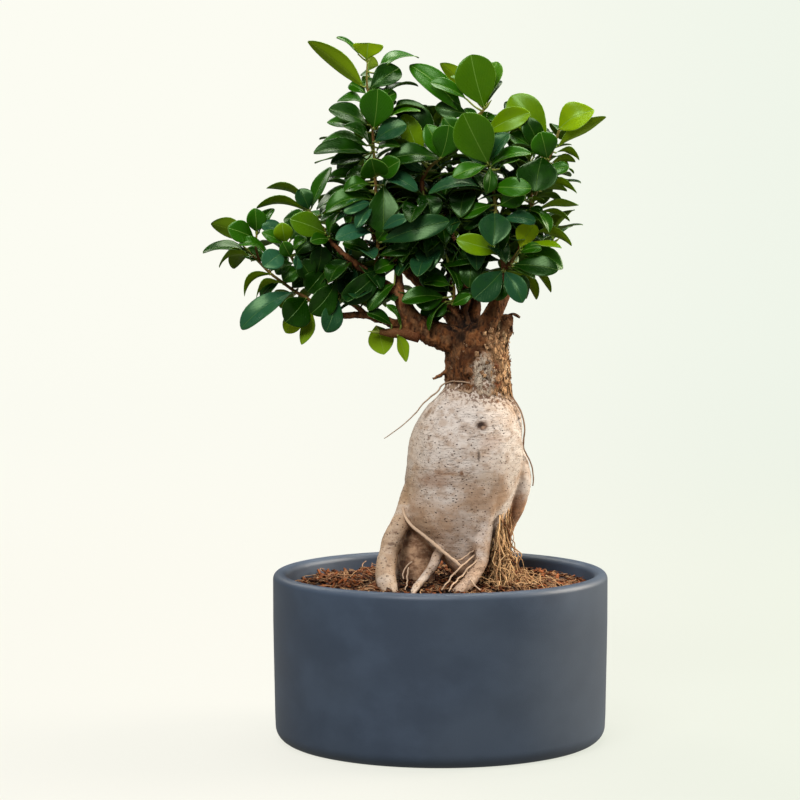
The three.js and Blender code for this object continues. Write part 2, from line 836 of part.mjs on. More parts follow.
  inner_low: {
    stem: [
      [8, 253, 4, 1.4],
      [8, 262, -2, 1.3],
      [8, 272, -4, 1.1],
      [5, 284, -5, 0.9],
    ],
    leaves: [
      [6, 259, 18, 266, -8, -2, 15, 7],
      [-2, 264, -15, 262, -10, -2, 10, 13],
      [6, 271, -10, 273, -8, -4, 60, 12],
    ],
  },
  middle_left: {
    stem: [
      [-46, 281, -6, 1.8],
      [-56, 285, 10, 1.4],
      [-70, 290, 16, 1],
    ],
    ring: { count: 7, from: 0, sweep: 360, phase: 20 },
  },
  middle_left_low: {
    stem: [
      [-38, 252.5, -8, 1.8],
      [-45, 264, 8, 1.4],
      [-54, 272, 14, 1],
    ],
    ring: { count: 6, from: 0, sweep: 360, phase: 120 },
  },
  middle_centre: {
    stem: [
      [-4, 292, 9, 1.8],
      [1, 306, 13, 1.4],
      [4, 322, 15, 1],
    ],
    ring: { count: 7, from: 0, sweep: 360, phase: 260 },
  },
  middle_centre_left: {
    stem: [
      [-9, 296, 6, 1.8],
      [-18, 308, 12, 1.4],
      [-24, 322, 14, 1],
    ],
    ring: { count: 6, from: 0, sweep: 360, phase: 310 },
  },
  middle_right: {
    stem: [
      [24, 292, 9, 1.8],
      [32, 304, 14, 1.4],
      [38, 320, 16, 1],
    ],
    ring: { count: 7, from: 0, sweep: 360, phase: 60 },
  },
  middle_right_low: {
    stem: [
      [34, 262, 2, 1.8],
      [42, 272, 12, 1.4],
      [50, 284, 16, 1],
    ],
    ring: { count: 6, from: 0, sweep: 360, phase: 190 },
  },
  back_left_low: {
    stem: [
      [-40, 296, 48, 2.2],
      [-56, 300, 52, 1.4],
      [-70, 302, 54, 1],
    ],
    ring: { count: 7, from: 0, sweep: 360, phase: 30 },
  },
  back_left_high: {
    stem: [
      [-38, 296, 46, 2],
      [-44, 318, 44, 1.4],
      [-46, 344, 40, 1],
    ],
    ring: { count: 8, from: 0, sweep: 360, phase: 75 },
  },
  back_centre_left: {
    stem: [
      [-8, 270, 34, 2.4],
      [-20, 282, 58, 1.5],
      [-26, 296, 72, 1],
    ],
    ring: { count: 8, from: 0, sweep: 360, phase: 110 },
  },
  back_centre: {
    stem: [
      [2, 326, 46, 2.2],
      [-4, 344, 44, 1.5],
      [-8, 362, 40, 1],
    ],
    ring: { count: 7, from: 0, sweep: 360, phase: 160 },
  },
  back_centre_low: {
    stem: [
      [12, 276, 36, 2.2],
      [10, 284, 60, 1.5],
      [8, 296, 78, 1],
    ],
    ring: { count: 8, from: 0, sweep: 360, phase: 210 },
  },
  back_high: {
    stem: [
      [4, 318, 46, 1.9],
      [16, 336, 56, 1.4],
      [20, 354, 56, 1],
    ],
    ring: { count: 7, from: 0, sweep: 360, phase: 250 },
  },
  back_right_low: {
    stem: [
      [44, 284, 38, 2.2],
      [56, 288, 50, 1.4],
      [66, 296, 54, 1],
    ],
    ring: { count: 7, from: 0, sweep: 360, phase: 300 },
  },
  back_right_high: {
    stem: [
      [52, 312, 44, 2],
      [54, 328, 42, 1.4],
      [52, 346, 38, 1],
    ],
    ring: { count: 8, from: 0, sweep: 360, phase: 340 },
  },
};

function shootSolid(shoot, section, grow = 0) {
  const rows = shoot.stem;
  const read = (shoot.leaves ?? []).map((row) => leafFromRow(rows, row));
  const ruled = shoot.ring ? ruledLeaves(rows, shoot.ring) : [];
  const leaves = [...read, ...ruled].map((leaf) => leafSolid(leaf, section));
  return join([stem(rows, stemSides, grow), ...leaves]);
}

// Thin roots lie on the wood in front of them: a row of [u, v] is sighted onto it, [u, v, depth] hangs free
const thinRoots = {
  aerial_root_left: {
    radius: 0.8,
    rows: [
      [18, 213.5],
      [13, 214.6],
      [8, 214.4],
      [4.5, 214],
      [0.5, 212, -2],
      [-1.5, 208.8, -3],
      [-6, 205, -4],
      [-10, 201.5, -5],
      [-14, 196.5, -6],
      [-20, 190.5, -7],
      [-29, 183.5, -8],
      [-33.5, 180.5, -8],
    ],
  },
  aerial_root_right: {
    radius: 0.7,
    rows: [
      [42.8, 213, 0],
      [43.8, 206, 0],
      [47.5, 200.5, -1],
      [50.5, 194, -1],
      [51.8, 187, 0],
      [51.3, 180, 2],
      [51.3, 175, 4],
      [53, 171, 8],
      [55.5, 165, 11],
      [57, 158, 12],
      [56.6, 152, 12],
    ],
  },
  diagonal_root: {
    radius: 1.1,
    rows: [
      [-19, 133],
      [-15, 126.5],
      [-9, 121.5],
      [-3, 116.5],
      [4, 110.5],
      [9, 106.5],
    ],
  },
};

function onWood(caster, [u, v, depth], clearance) {
  if (depth !== undefined) {
    return seen(u, v, depth);
  }
  const eye = new THREE.Vector3(0, -eyeDistance, eyeHeight);
  caster.set(eye, seen(u, v, 0).sub(eye).normalize());
  const hit = caster.intersectObject(wood, true)[0];
  return hit.point.addScaledVector(hit.face.normal, clearance);
}

function thinRootSolid({ radius, rows }) {
  const caster = new THREE.Raycaster();
  const points = rows.map((row) => onWood(caster, row, radius + gap));
  return tube(points, Array(rows.length).fill(radius), stemSides);
}

// The mass of fine roots between the bulb and the mix at the right
const fineRootRows = [
  [39, 131, 2, 2.5],
  [38.5, 124, 2, 5],
  [38, 114, 1, 7],
  [38.5, 104, 0, 9],
  [40, 94, -2, 11],
  [41, 86, -3, 11],
];

// Materials
const finishes = {
  ceramic: new THREE.MeshStandardMaterial({ color: 0x4d555c, roughness: 0.45, metalness: 0 }),
  mix: new THREE.MeshStandardMaterial({ color: 0x5a2f17, roughness: 1, metalness: 0 }),
  skin: new THREE.MeshStandardMaterial({ color: 0xa89a8c, roughness: 0.8, metalness: 0 }),
  bark: new THREE.MeshStandardMaterial({ color: 0x5c3a22, roughness: 0.9, metalness: 0 }),
  root: new THREE.MeshStandardMaterial({ color: 0xb08a58, roughness: 0.85, metalness: 0 }),
  leaf: new THREE.MeshStandardMaterial({ color: 0x24500e, roughness: 0.35, metalness: 0 }),
};

// Pieces are placed one by one, and each is cut back to a small clearance from what is already there
const bonsai = new THREE.Group();
const wood = new THREE.Group();
const foliage = new THREE.Group();
bonsai.add(wood, foliage);
const placed = [];

function boxesMeet(a, b) {
  return [0, 1, 2].every((i) => a.min[i] < b.max[i] && b.min[i] < a.max[i]);
}

function clearOfPlaced(solid) {
  const box = solid.boundingBox();
  const near = placed.filter((grown) => boxesMeet(box, grown.boundingBox()));
  return near.length ? solid.subtract(join(near)) : solid;
}

function place(group, name, solid, finish, grown) {
  const cut = clearOfPlaced(solid).simplify(smallestDetail);
  const mesh = new THREE.Mesh(geometryOf(largestBody(cut)), finish);
  mesh.name = name;
  mesh.updateMatrixWorld();
  group.add(mesh);
  if (grown) {
    placed.push(grown);
  }
}

place(wood, "rootstock", rootstockSolid(), finishes.skin, rootstockSolid(gap));
place(wood, "trunk_and_limbs", trunkSolid(), finishes.bark, trunkSolid(gap));
place(bonsai, "fine_roots", stem(fineRootRows, barkSides), finishes.root, stem(fineRootRows, barkSides, gap));
place(bonsai, "potting_mix", solidOf(mixGeometry()), finishes.mix);
place(bonsai, "pot", solidOf(potGeometry()), finishes.ceramic);
for (const [name, root] of Object.entries(thinRoots)) {
  place(bonsai, name, thinRootSolid(root), finishes.root);
}
for (const [name, shoot] of Object.entries(shoots)) {
  place(foliage, name, shootSolid(shoot, keeled), finishes.leaf, shootSolid(shoot, boxed, gap));
}

export default bonsai;
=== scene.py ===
# %% [markdown]
# # A ficus bonsai in its pot
#
# The plant is a grafted ficus: a pale swollen rootstock that stands on its own roots, a rough brown trunk
# grafted onto it, and a crown of small glossy leaves. It stands in bark and coir in a round slate-blue pot.
#
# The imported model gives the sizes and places. Here each of its nodes gets a finer shape and its finish.
# Lengths are written in millimetres and turned into metres where the meshes are made.

import math
import random

import bpy
import numpy as np
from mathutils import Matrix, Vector, noise
from mathutils.bvhtree import BVHTree


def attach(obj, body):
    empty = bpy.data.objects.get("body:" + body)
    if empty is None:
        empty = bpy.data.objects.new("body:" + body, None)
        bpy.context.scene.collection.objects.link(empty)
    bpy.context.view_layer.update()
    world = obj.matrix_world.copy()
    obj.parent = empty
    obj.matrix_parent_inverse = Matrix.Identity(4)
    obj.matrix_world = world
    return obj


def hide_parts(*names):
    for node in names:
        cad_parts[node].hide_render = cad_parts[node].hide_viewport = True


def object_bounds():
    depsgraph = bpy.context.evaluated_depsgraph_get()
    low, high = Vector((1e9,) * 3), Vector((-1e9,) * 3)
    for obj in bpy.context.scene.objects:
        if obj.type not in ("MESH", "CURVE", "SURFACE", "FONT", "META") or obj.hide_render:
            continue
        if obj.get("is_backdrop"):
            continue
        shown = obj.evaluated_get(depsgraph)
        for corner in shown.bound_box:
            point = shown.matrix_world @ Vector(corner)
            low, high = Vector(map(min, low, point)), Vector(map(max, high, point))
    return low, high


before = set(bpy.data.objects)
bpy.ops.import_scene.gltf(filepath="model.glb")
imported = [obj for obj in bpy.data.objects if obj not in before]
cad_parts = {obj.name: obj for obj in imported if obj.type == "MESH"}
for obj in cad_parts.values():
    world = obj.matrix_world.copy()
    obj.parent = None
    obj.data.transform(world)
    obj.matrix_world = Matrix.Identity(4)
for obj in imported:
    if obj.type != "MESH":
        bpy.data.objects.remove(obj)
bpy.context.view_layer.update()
scene = bpy.context.scene
print("nodes in the frame:", len(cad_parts))

# %% [markdown]
# ## The camera
#
# The plant is seen from well back through a long lens, from a little above its middle, so the pot's rim
# shows as a flat ellipse. The camera stands at that eye, tipped down a little. It is shifted sideways only
# as far as the pot stands from the middle of the picture.

# %% Camera
mm = 0.001
eye_distance = 1682
eye_height = 329
pitch = math.radians(4.267)

camera_data = bpy.data.cameras.new("camera")
camera_data.lens = 127.35
camera_data.sensor_width = 36
camera_data.shift_x = -0.0504
camera_data.clip_end = 200
camera = bpy.data.objects.new("camera", camera_data)
camera.location = Vector((0, -eye_distance, eye_height)) * mm
camera.rotation_euler = (math.radians(90) - pitch, 0, 0)
scene.collection.objects.link(camera)
scene.camera = camera
scene.view_settings.view_transform = "Standard"
print("camera at", tuple(round(value, 3) for value in camera.location))

# %% [markdown]
# ## Writing places as they look
#
# Branches and leaves are easiest to place as they appear from the front: u to the right, v up, and a depth
# behind the middle of the pot. A place further back is moved along its own line of sight, so it keeps its
# place in the picture.


# %% Places from the picture
def seen(u, v, depth):
    """The place in millimetres of what looks to be at (u, v), this deep behind the pot's middle."""
    scale = 1 + depth / eye_distance
    return np.array([u * scale, depth, eye_height + (v - eye_height) * scale])


def unit(vector):
    return vector / np.linalg.norm(vector)


def direction(heading, climb=0):
    """The way that runs to this heading on the level and climbs at this angle, both in radians."""
    level = math.cos(climb)
    return np.array([math.cos(heading) * level, math.sin(heading) * level, math.sin(climb)])


print("left of the pot's rim:", seen(-100, 101, 0))


# %% [markdown]
# ## Gathering meshes
#
# A shoot has hundreds of small parts: stalks, blades, twigs. They are worked out as plain points and faces
# and gathered into one mesh, which is quicker than joining objects. Each face has the number of its finish,
# in the list that the mesh is made with. Each point also carries what the finishes read: "marks", three
# numbers whose meaning the part sets, and "tone", one number that runs from dark or old to light or young.


# %% Shape
class Shape:
    """Points and faces gathered from many parts."""

    def __init__(self):
        self.points = []
        self.faces = []
        self.finishes = []
        self.marks = []
        self.tones = []
        self.count = 0

    def add(self, part, finish=0, marks=(0, 0, 0), tone=0):
        points, faces = part
        self.points.append(points)
        self.faces += [[index + self.count for index in face] for face in faces]
        self.finishes.append(np.broadcast_to(finish, len(faces)))
        self.marks.append(np.broadcast_to(marks, (len(points), 3)))
        self.tones.append(np.broadcast_to(tone, len(points)))
        self.count += len(points)

    def make(self, name, finishes):
        mesh = bpy.data.meshes.new(name)
        mesh.from_pydata((np.vstack(self.points) * mm).tolist(), [], self.faces)
        for finish in finishes:
            mesh.materials.append(finish.material)
        mesh.polygons.foreach_set("material_index", np.concatenate(self.finishes).tolist())
        mesh.shade_smooth()
        marks = mesh.attributes.new("marks", "FLOAT_VECTOR", "POINT")
        marks.data.foreach_set("vector", np.vstack(self.marks).ravel().astype(np.float32))
        tones = mesh.attributes.new("tone", "FLOAT", "POINT")
        tones.data.foreach_set("value", np.concatenate(self.tones).astype(np.float32))
        thing = bpy.data.objects.new(name, mesh)
        scene.collection.objects.link(thing)
        return thing


def keep(thing, nodes):
    """Hands a finished piece to the frame: it rides on the plant and stands for these nodes."""
    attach(thing, "root")
    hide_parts(*nodes)
    print(thing.name, "faces:", len(thing.data.polygons))


# %% [markdown]
# ## Round things that bend
#
# Limbs, twigs, roots and leaf stalks are all tubes. Each is given as a few rows of place and radius. A
# smooth curve through the rows (Catmull-Rom) fills in the places between, and rings of points are set along
# it. Each ring takes its start from the last one, so the tube doesn't twist.


# %% Tubes
def smooth_rows(rows, steps):
    """More rows on a smooth curve through the given ones."""
    rows = np.array(rows, float)
    ends = np.vstack([2 * rows[0] - rows[1], rows, 2 * rows[-1] - rows[-2]])
    fine = []
    for k in range(len(rows) - 1):
        a, b, c, d = ends[k : k + 4]
        for t in np.arange(steps) / steps:
            bend = (2 * a - 5 * b + 4 * c - d) * t**2 + (3 * b - a - 3 * c + d) * t**3
            fine.append(b + 0.5 * ((c - a) * t + bend))
    fine.append(rows[-1])
    return np.array(fine)


def rings_to_faces(rings, sides):
    """Faces between rings of points that follow one another, and one face over each end."""
    faces = []
    for k in range(rings - 1):
        for i in range(sides):
            a = k * sides + i
            b = k * sides + (i + 1) % sides
            faces.append([a, b, b + sides, a + sides])
    last = (rings - 1) * sides
    faces.append(list(range(sides - 1, -1, -1)))
    faces.append(list(range(last, last + sides)))
    return faces


first_side = np.array([0.31, 0.87, -0.38])


def round_turns(sides):
    return np.linspace(0, 2 * math.pi, sides, endpoint=False)


def tube(rows, sides):
    """A closed tube along rows of [x, y, z, radius]."""
    rows = np.array(rows, float)
    side = first_side
    turns = round_turns(sides)
    rings = []
    for k, (*point, radius) in enumerate(rows):
        along = unit(rows[min(k + 1, len(rows) - 1), :3] - rows[max(k - 1, 0), :3])
        side = unit(side - along * side.dot(along))
        up = np.cross(along, side)
        ring = np.outer(np.cos(turns), side) + np.outer(np.sin(turns), up)
        rings.append(np.array(point) + radius * ring)
    return np.vstack(rings), rings_to_faces(len(rings), sides)


def seen_rows(rows):
    """Rows of [u, v, depth, radius] as rows of [x, y, z, radius]."""
    return [[*seen(u, v, depth), radius] for u, v, depth, radius in rows]


def seen_tube(rows, sides):
    """A smooth tube through rows of [u, v, depth, radius]."""
    return tube(smooth_rows(seen_rows(rows), 4), sides)


# %% [markdown]
# ## Finishes as expressions
#
# A finish is a node tree, but it is easier to read as a sum. The class Wire wraps the output of a node, so
# that `1 - mask * 0.5` adds the Math nodes by itself. Colours are never put through Math nodes, which would
# turn them grey: they are mixed. Every other node comes from one method. The backdrop's tree is made in the
# same way.


# %% Wire and Finish
def arithmetic(operation, reflected=False):
    """A method that adds a Math node for itself and another value, or the other way round if reflected."""

    def method(self, other):
        first, second = (other, self) if reflected else (self, other)
        return self.tree.node("ShaderNodeMath", {"operation": operation}, {0: first, 1: second})

    return method


class Wire:
    """The output of a node. Arithmetic on it adds Math nodes to the same tree."""

    def __init__(self, tree, socket):
        self.tree = tree
        self.socket = socket

    def __abs__(self):
        return self.tree.node("ShaderNodeMath", {"operation": "ABSOLUTE"}, {0: self})

    __add__ = arithmetic("ADD")
    __radd__ = arithmetic("ADD", True)
    __sub__ = arithmetic("SUBTRACT")
    __rsub__ = arithmetic("SUBTRACT", True)
    __mul__ = arithmetic("MULTIPLY")
    __rmul__ = arithmetic("MULTIPLY", True)
    __truediv__ = arithmetic("DIVIDE")
    __rtruediv__ = arithmetic("DIVIDE", True)


class Tree:
    """A node tree with its main shader, and the one way that nodes are added to it."""

    def __init__(self, nodes, shader):
        self.tree = nodes
        self.shader = nodes.nodes[shader]

    def plug(self, node, sockets):
        for name, value in sockets.items():
            if isinstance(value, Wire):
                self.tree.links.new(value.socket, node.inputs[name])
            else:
                node.inputs[name].default_value = value

    def node(self, kind, settings, sockets, output=0):
        node = self.tree.nodes.new(kind)
        for name, value in settings.items():
            setattr(node, name, value)
        self.plug(node, sockets)
        return Wire(self, node.outputs[output])


class Finish(Tree):
    """A material."""

    def __init__(self, name):
        self.material = bpy.data.materials.new(name)
        self.material.use_nodes = True
        super().__init__(self.material.node_tree, "Principled BSDF")

    def paint(self, specular=None, **values):
        """Sets the main shader's sockets: paint(base_color=...) is its Base Color."""
        self.plug(self.shader, {name.replace("_", " ").title(): value for name, value in values.items()})
        if specular is not None:
            self.plug(self.shader, {"Specular IOR Level": specular})


# %% [markdown]
# The few patterns that every finish is mixed from: soft noise, cells, a smooth step that turns a number
# into a mask, a mix of two colours, and a bump. Colours are written as the 0 to 255 numbers seen on a
# screen and are turned into the light values that the shader needs.


# %% Patterns
def colour(red, green, blue):
    """A screen colour as the shader's own values."""
    channels = [value / 255 for value in (red, green, blue)]
    linear = [value / 12.92 if value < 0.04045 else ((value + 0.055) / 1.055) ** 2.4 for value in channels]
    return (*linear, 1)


def place_on(tree):
    """Each point's place on the object, in metres."""
    return tree.node("ShaderNodeTexCoord", {}, {}, "Object")


def vector_math(operation, first, second):
    return first.tree.node("ShaderNodeVectorMath", {"operation": operation}, {0: first, 1: second})


def length_of(vector):
    return vector.tree.node("ShaderNodeVectorMath", {"operation": "LENGTH"}, {0: vector}, "Value")


def axis(vector, letter):
    return vector.tree.node("ShaderNodeSeparateXYZ", {}, {0: vector}, letter)


def carried(finish, name, output="Fac"):
    """What the mesh carries under this name at each point."""
    return finish.node("ShaderNodeAttribute", {"attribute_name": name}, {}, output)


def cloud(finish, scale, stretch=(1, 1, 1), detail=3, rough=0.55, distortion=0):
    place = vector_math("MULTIPLY", place_on(finish), stretch)
    sockets = {"Scale": scale, "Detail": detail, "Roughness": rough, "Distortion": distortion}
    return finish.node("ShaderNodeTexNoise", {}, {"Vector": place, **sockets})


def cells(finish, scale, stretch, output="Distance"):
    place = vector_math("MULTIPLY", place_on(finish), stretch)
    return finish.node("ShaderNodeTexVoronoi", {"feature": "F1"}, {"Vector": place, "Scale": scale}, output)


def step(value, low, high):
    """0 where value is at low, 1 where it is at high, smooth between."""
    sockets = {0: value, 1: low, 2: high, 3: 0, 4: 1}
    return value.tree.node("ShaderNodeMapRange", {"interpolation_type": "SMOOTHSTEP"}, sockets)


def mix(share, first, second):
    return share.tree.node("ShaderNodeMix", {"data_type": "RGBA"}, {0: share, 6: first, 7: second}, 2)


def coated(base, *coats):
    """A colour with others laid over it one by one, each given as its share and its colour."""
    for share, coat in coats:
        base = mix(share, base, coat)
    return base


def bump(height, depth):
    """Relief as deep as this, in millimetres, where height runs from 0 to 1."""
    return height.tree.node("ShaderNodeBump", {}, {"Height": height, "Distance": depth * mm, "Strength": 1})


# %% [markdown]
# ## The pot
#
# The pot is thrown or cast stoneware with a matt slate-blue glaze: a straight wall that narrows very
# slightly to a rounded lower corner, and a thick rounded rim. Its section is turned round the axis, which
# gives a true circle. The glaze is cloudy rather than even, so two blues are mixed by a soft noise, and the
# roughness follows it.

# %% Pot shape
pot_radius = 100
pot_height = 101
pot_wall = 8
pot_taper = 1.2
pot_corner = 9
pot_floor = 8
pot_foot_radius = 60
pot_taper_top = 70
pot_band = (72, 88)
pot_floor_radius = 50


def arc(x, y, radius, start, end, steps):
    angles = np.radians(np.linspace(start, end, steps))
    return [(x + radius * math.cos(angle), y + radius * math.sin(angle)) for angle in angles]


def turned(profile, sides):
    """A section of [radius, height] turned round the axis."""
    turns = round_turns(sides)
    rings = [
        np.column_stack([radius * np.cos(turns), radius * np.sin(turns), np.full(sides, height)])
        for radius, height in profile
    ]
    return np.vstack(rings), rings_to_faces(len(rings), sides)


lip = pot_wall / 2
inner_radius = pot_radius - pot_wall
pot_profile = [
    (pot_foot_radius, 0),
    *arc(pot_radius - pot_taper - pot_corner, pot_corner, pot_corner, -90, 0, 10),
    *[(pot_radius - pot_taper * (1 - rise / pot_taper_top), rise) for rise in range(16, pot_taper_top, 9)],
    *[(pot_radius, height) for height in pot_band],
    *arc(pot_radius - lip, pot_height - lip, lip, 0, 180, 17),
    (inner_radius, pot_band[1]),
    (inner_radius, 60),
    *arc(inner_radius - pot_corner, pot_floor + pot_corner, pot_corner, 0, -90, 7),
    (pot_floor_radius, pot_floor),
]
pot_shape = Shape()
pot_shape.add(turned(pot_profile, 192))

# %% Pot glaze
ceramic = Finish("slate_glaze")
glaze_cloud = cloud(ceramic, 28, (1, 1, 1.3), 5)
glaze_blotch = cloud(ceramic, 9, detail=2)
glaze_grain = cloud(ceramic, 1400, detail=2)
ceramic.paint(
    base_color=coated(
        colour(54, 66, 82),
        (step(glaze_cloud, 0.35, 0.68), colour(64, 77, 94)),
        (step(glaze_blotch, 0.42, 0.7) * 0.5, colour(69, 79, 91)),
    ),
    roughness=0.4 + glaze_cloud * 0.16,
    normal=bump(glaze_grain + glaze_cloud * 2, 0.05),
)
keep(pot_shape.make("pot", [ceramic]), ["pot"])

# %% [markdown]
# ## The potting mix
#
# The mix is bark chips and coir. A lumpy ground fills the gaps, and loose chips and curled fibres lie on it
# as real shapes, because the low camera sees them edge on, where a bump map alone would look like a flat
# carpet.

# %% Mix ground
mix_below_rim = 10
mix_mound = 5
mix_lump = 1.1
mix_radius = inner_radius - 0.3
mix_underside = 70
# Every random draw, and the drift of every root, starts from this number, so the plant is always the same.
plant_seed = 11
chance = random.Random(plant_seed)
noise.seed_set(plant_seed)


def mix_height(x, y):
    out = math.hypot(x, y) / pot_radius
    lumps = math.sin(x / 7 + 1.3 * math.sin(y / 9)) * math.cos(y / 8 - 0.7 * math.sin(x / 11))
    return pot_height - mix_below_rim + mix_mound * (1 - out * out) + mix_lump * lumps


def ground_ring(radius, sides):
    ring = []
    for turn in round_turns(sides):
        x = radius * math.cos(turn)
        y = radius * math.sin(turn)
        crumbs = 0.9 * noise.noise(Vector((x, y, 0)) / 3.1) + 0.6 * noise.noise(Vector((x, y, 9)) / 1.4)
        ring.append((x, y, mix_height(x, y) - 0.8 + crumbs))
    return ring


ground_sides = 160
ground_rings = [ground_ring(radius, ground_sides) for radius in np.linspace(2, mix_radius, 56)]
skirt = [(x, y, mix_underside) for x, y, _ in ground_rings[-1]]
mix_shape = Shape()
mix_shape.add((np.vstack([*ground_rings, skirt]), rings_to_faces(len(ground_rings) + 1, ground_sides)))
print("mix at the middle:", round(mix_height(0, 0), 1), "mm high")


# %% Chips and fibres
chip_count = 1700
fibre_count = 1300
fibre_bends = 6


def random_spot(reach):
    radius = reach * math.sqrt(chance.random())
    turn = chance.uniform(0, 2 * math.pi)
    return radius * math.cos(turn), radius * math.sin(turn)


def chip(centre, length, width, thickness):
    """A splinter of bark: a block with uneven corners, lying at any angle."""
    corners = np.array([(a, b, c) for a in (-1, 1) for b in (-1, 1) for c in (-1, 1)], float)
    corners *= np.array([length, width, thickness]) / 2
    corners += np.array([[chance.uniform(-0.3, 0.3) * width for _ in range(3)] for _ in corners])
    heading = chance.uniform(0, 2 * math.pi)
    tip = chance.gauss(0, 0.4)
    along = direction(heading, tip)
    side = unit(np.cross(along, [0.1, 0.1, 1]))
    up = np.cross(side, along)
    faces = [[0, 1, 3, 2], [4, 6, 7, 5], [0, 4, 5, 1], [2, 3, 7, 6], [0, 2, 6, 4], [1, 5, 7, 3]]
    return centre + corners @ np.array([along, side, up]), faces


def fibre(start, length, radius, climb):
    """A thin curled strand that sets off from start and lies over on its side."""
    heading = chance.uniform(0, 2 * math.pi)
    turn = chance.uniform(-0.35, 0.35)
    rows = [[*start, radius]]
    for _ in range(fibre_bends):
        heading += turn + chance.gauss(0, 0.25)
        climb = 0.6 * climb + chance.gauss(-0.06, 0.22)
        place = np.array(rows[-1][:3]) + direction(heading, climb) * length / fibre_bends
        place[2] = max(place[2], mix_height(*place[:2]) - 0.5)
        rows.append([*place, radius * 0.85])
    return tube(smooth_rows(rows, 2), 4)


for _ in range(chip_count):
    x, y = random_spot(mix_radius - 4)
    middle = np.array([x, y, mix_height(x, y) + chance.uniform(-0.6, 0.9)])
    size = chance.uniform(2.2, 7)
    piece = chip(middle, size, size * chance.uniform(0.2, 0.45), chance.uniform(0.4, 1.3))
    mix_shape.add(piece, 1, tone=chance.random() ** 1.6)
for _ in range(fibre_count):
    x, y = random_spot(mix_radius - 5)
    start = np.array([x, y, mix_height(x, y) + 0.4])
    strand = fibre(start, chance.uniform(4, 12), chance.uniform(0.1, 0.24), chance.uniform(0, 0.9))
    mix_shape.add(strand, 2, tone=chance.random())
print("points in the mix:", mix_shape.count)

# %% Mix finishes
mould = Finish("mix_ground")
crumbs = cloud(mould, 700, detail=4)
mould.paint(
    base_color=mix(step(crumbs, 0.4, 0.75), colour(14, 6, 3), colour(72, 36, 16)),
    roughness=0.95,
    normal=bump(crumbs, 0.8),
)


def painted_hollow_shade(finish, reach):
    """Painted shade: 1 deep in a hollow narrower than reach, in millimetres, where shade falls, and 0 in the
    open.
    """
    openness = finish.node("ShaderNodeAmbientOcclusion", {"samples": 6}, {"Distance": reach * mm}, "AO")
    return 1 - step(openness, 0.12, 0.75)


def toned(name, dark, light, fleck, rough, hollow=0):
    """A finish that runs from dark to light with the tone of each part, and has painted shade in hollows
    this wide.
    """
    finish = Finish(name)
    grain = cloud(finish, 900)
    base = coated(dark, (carried(finish, "tone"), light), (step(grain, 0.5, 0.75) * 0.45, fleck))
    if hollow:
        # Painted shade: the hollows are darkened to a near-black brown.
        base = mix(painted_hollow_shade(finish, hollow) * 0.8, base, colour(20, 9, 3))
    finish.paint(base_color=base, roughness=rough, normal=bump(grain, 0.3), specular=0.2)
    return finish


# The last number is how wide a hollow is that gets painted shade.
chips = toned("bark_chip", colour(34, 14, 6), colour(146, 80, 40), colour(204, 140, 88), 0.85, 14)
coir = toned("coir", colour(100, 52, 22), colour(232, 184, 134), colour(244, 210, 164), 0.8, 3)
keep(mix_shape.make("potting_mix", [mould, chips, coir]), ["potting_mix"])

# %% [markdown]
# ## The rootstock
#
# The rootstock is one grown thing: bulb, side lobe and legs flow into each other. Each part is lofted on
# its own, and a voxel remesh welds them into one skin, which a little smoothing then rounds at the joins,
# as a sculptor would. Two grids of noise push the skin in and out, so the outline isn't a turned vase.

# %% Rootstock rows
# The bulb is a little flatter from front to back. Its rows are [height, centre, radius, depth].
flatness = 0.94
bulb_rows = [
    [98, 16, 5, -12], [103, 16, 10, -10], [108, 15.5, 14.5, -7], [114, 13.5, 20, -3], [121, 11, 25.5, 1],
    [130, 9, 30.5, 3], [140, 9.8, 32.6, 3], [152, 12.2, 33.6, 3], [165, 14.1, 34.6, 3],
    [178, 15.3, 33.9, 3], [189, 16.6, 31, 3], [199, 18.2, 26.6, 3], [204, 19.6, 23, 3],
    [207, 20.6, 21.2, 3], [212, 22, 19, 2], [220, 22.2, 17.8, 2],
]
root_rows = {
    "shoulder": [
        [38, 204, 3, 4], [40.5, 200, 3, 5], [43, 194, 3, 5.6], [43.4, 187, 3, 6], [42.5, 180, 3, 6],
    ],
    "side_lobe": [
        [42, 180, 10, 3], [44.8, 170, 12, 6], [46.2, 158, 13, 8], [45.3, 148, 12, 7.5], [43.5, 138, 11, 6],
        [41, 129, 10, 4], [40, 120, 9, 2.5],
    ],
    "left_leg": [
        [-12, 158, 2, 7], [-15.5, 148, -1, 7.5], [-19.5, 138, -5, 6.6], [-24.5, 128, -11, 6],
        [-29, 119, -17, 6.2], [-31, 110, -23, 6.5], [-33, 102, -31, 6.2], [-31.8, 93, -39, 5.8],
        [-30, 85, -45, 5.2],
    ],
    "leg_knob": [[-28, 122, -15, 3.5], [-26.5, 116.5, -16, 4.6], [-27, 111, -18, 3]],
    "inner_lobe": [
        [-9, 134, 3, 8], [-13, 122, 1, 10], [-14, 111, 0, 11], [-13.5, 100, -2, 10.4], [-12, 88, -4, 9],
    ],
    "lobe_fold": [[-16, 130, 6, 5], [-20, 119, 6, 6], [-22, 107, 5, 6.5], [-22, 92, 4, 6]],
    "front_root": [
        [6, 128, -6, 3], [4, 122, -11, 3.4], [1, 115, -17, 3.4], [-2, 110, -21, 3.3], [-4.5, 104, -26, 2.9],
        [-9, 97.5, -34, 2.7], [-13.5, 92, -43, 2.5], [-16, 88.5, -51, 2.3], [-18, 83, -56, 2.2],
    ],
    "right_leg": [
        [27, 152, -15, 8], [26.8, 141, -16, 7.6], [26.4, 129, -17, 5.4], [25.7, 119.3, -20, 4.3],
        [25, 109.5, -25, 4], [23.4, 104.5, -28, 4], [20.4, 99.6, -32, 4.3], [17, 94.6, -38, 4.4],
        [12.6, 89.5, -45, 4.3], [9, 85, -50, 4],
    ],
}


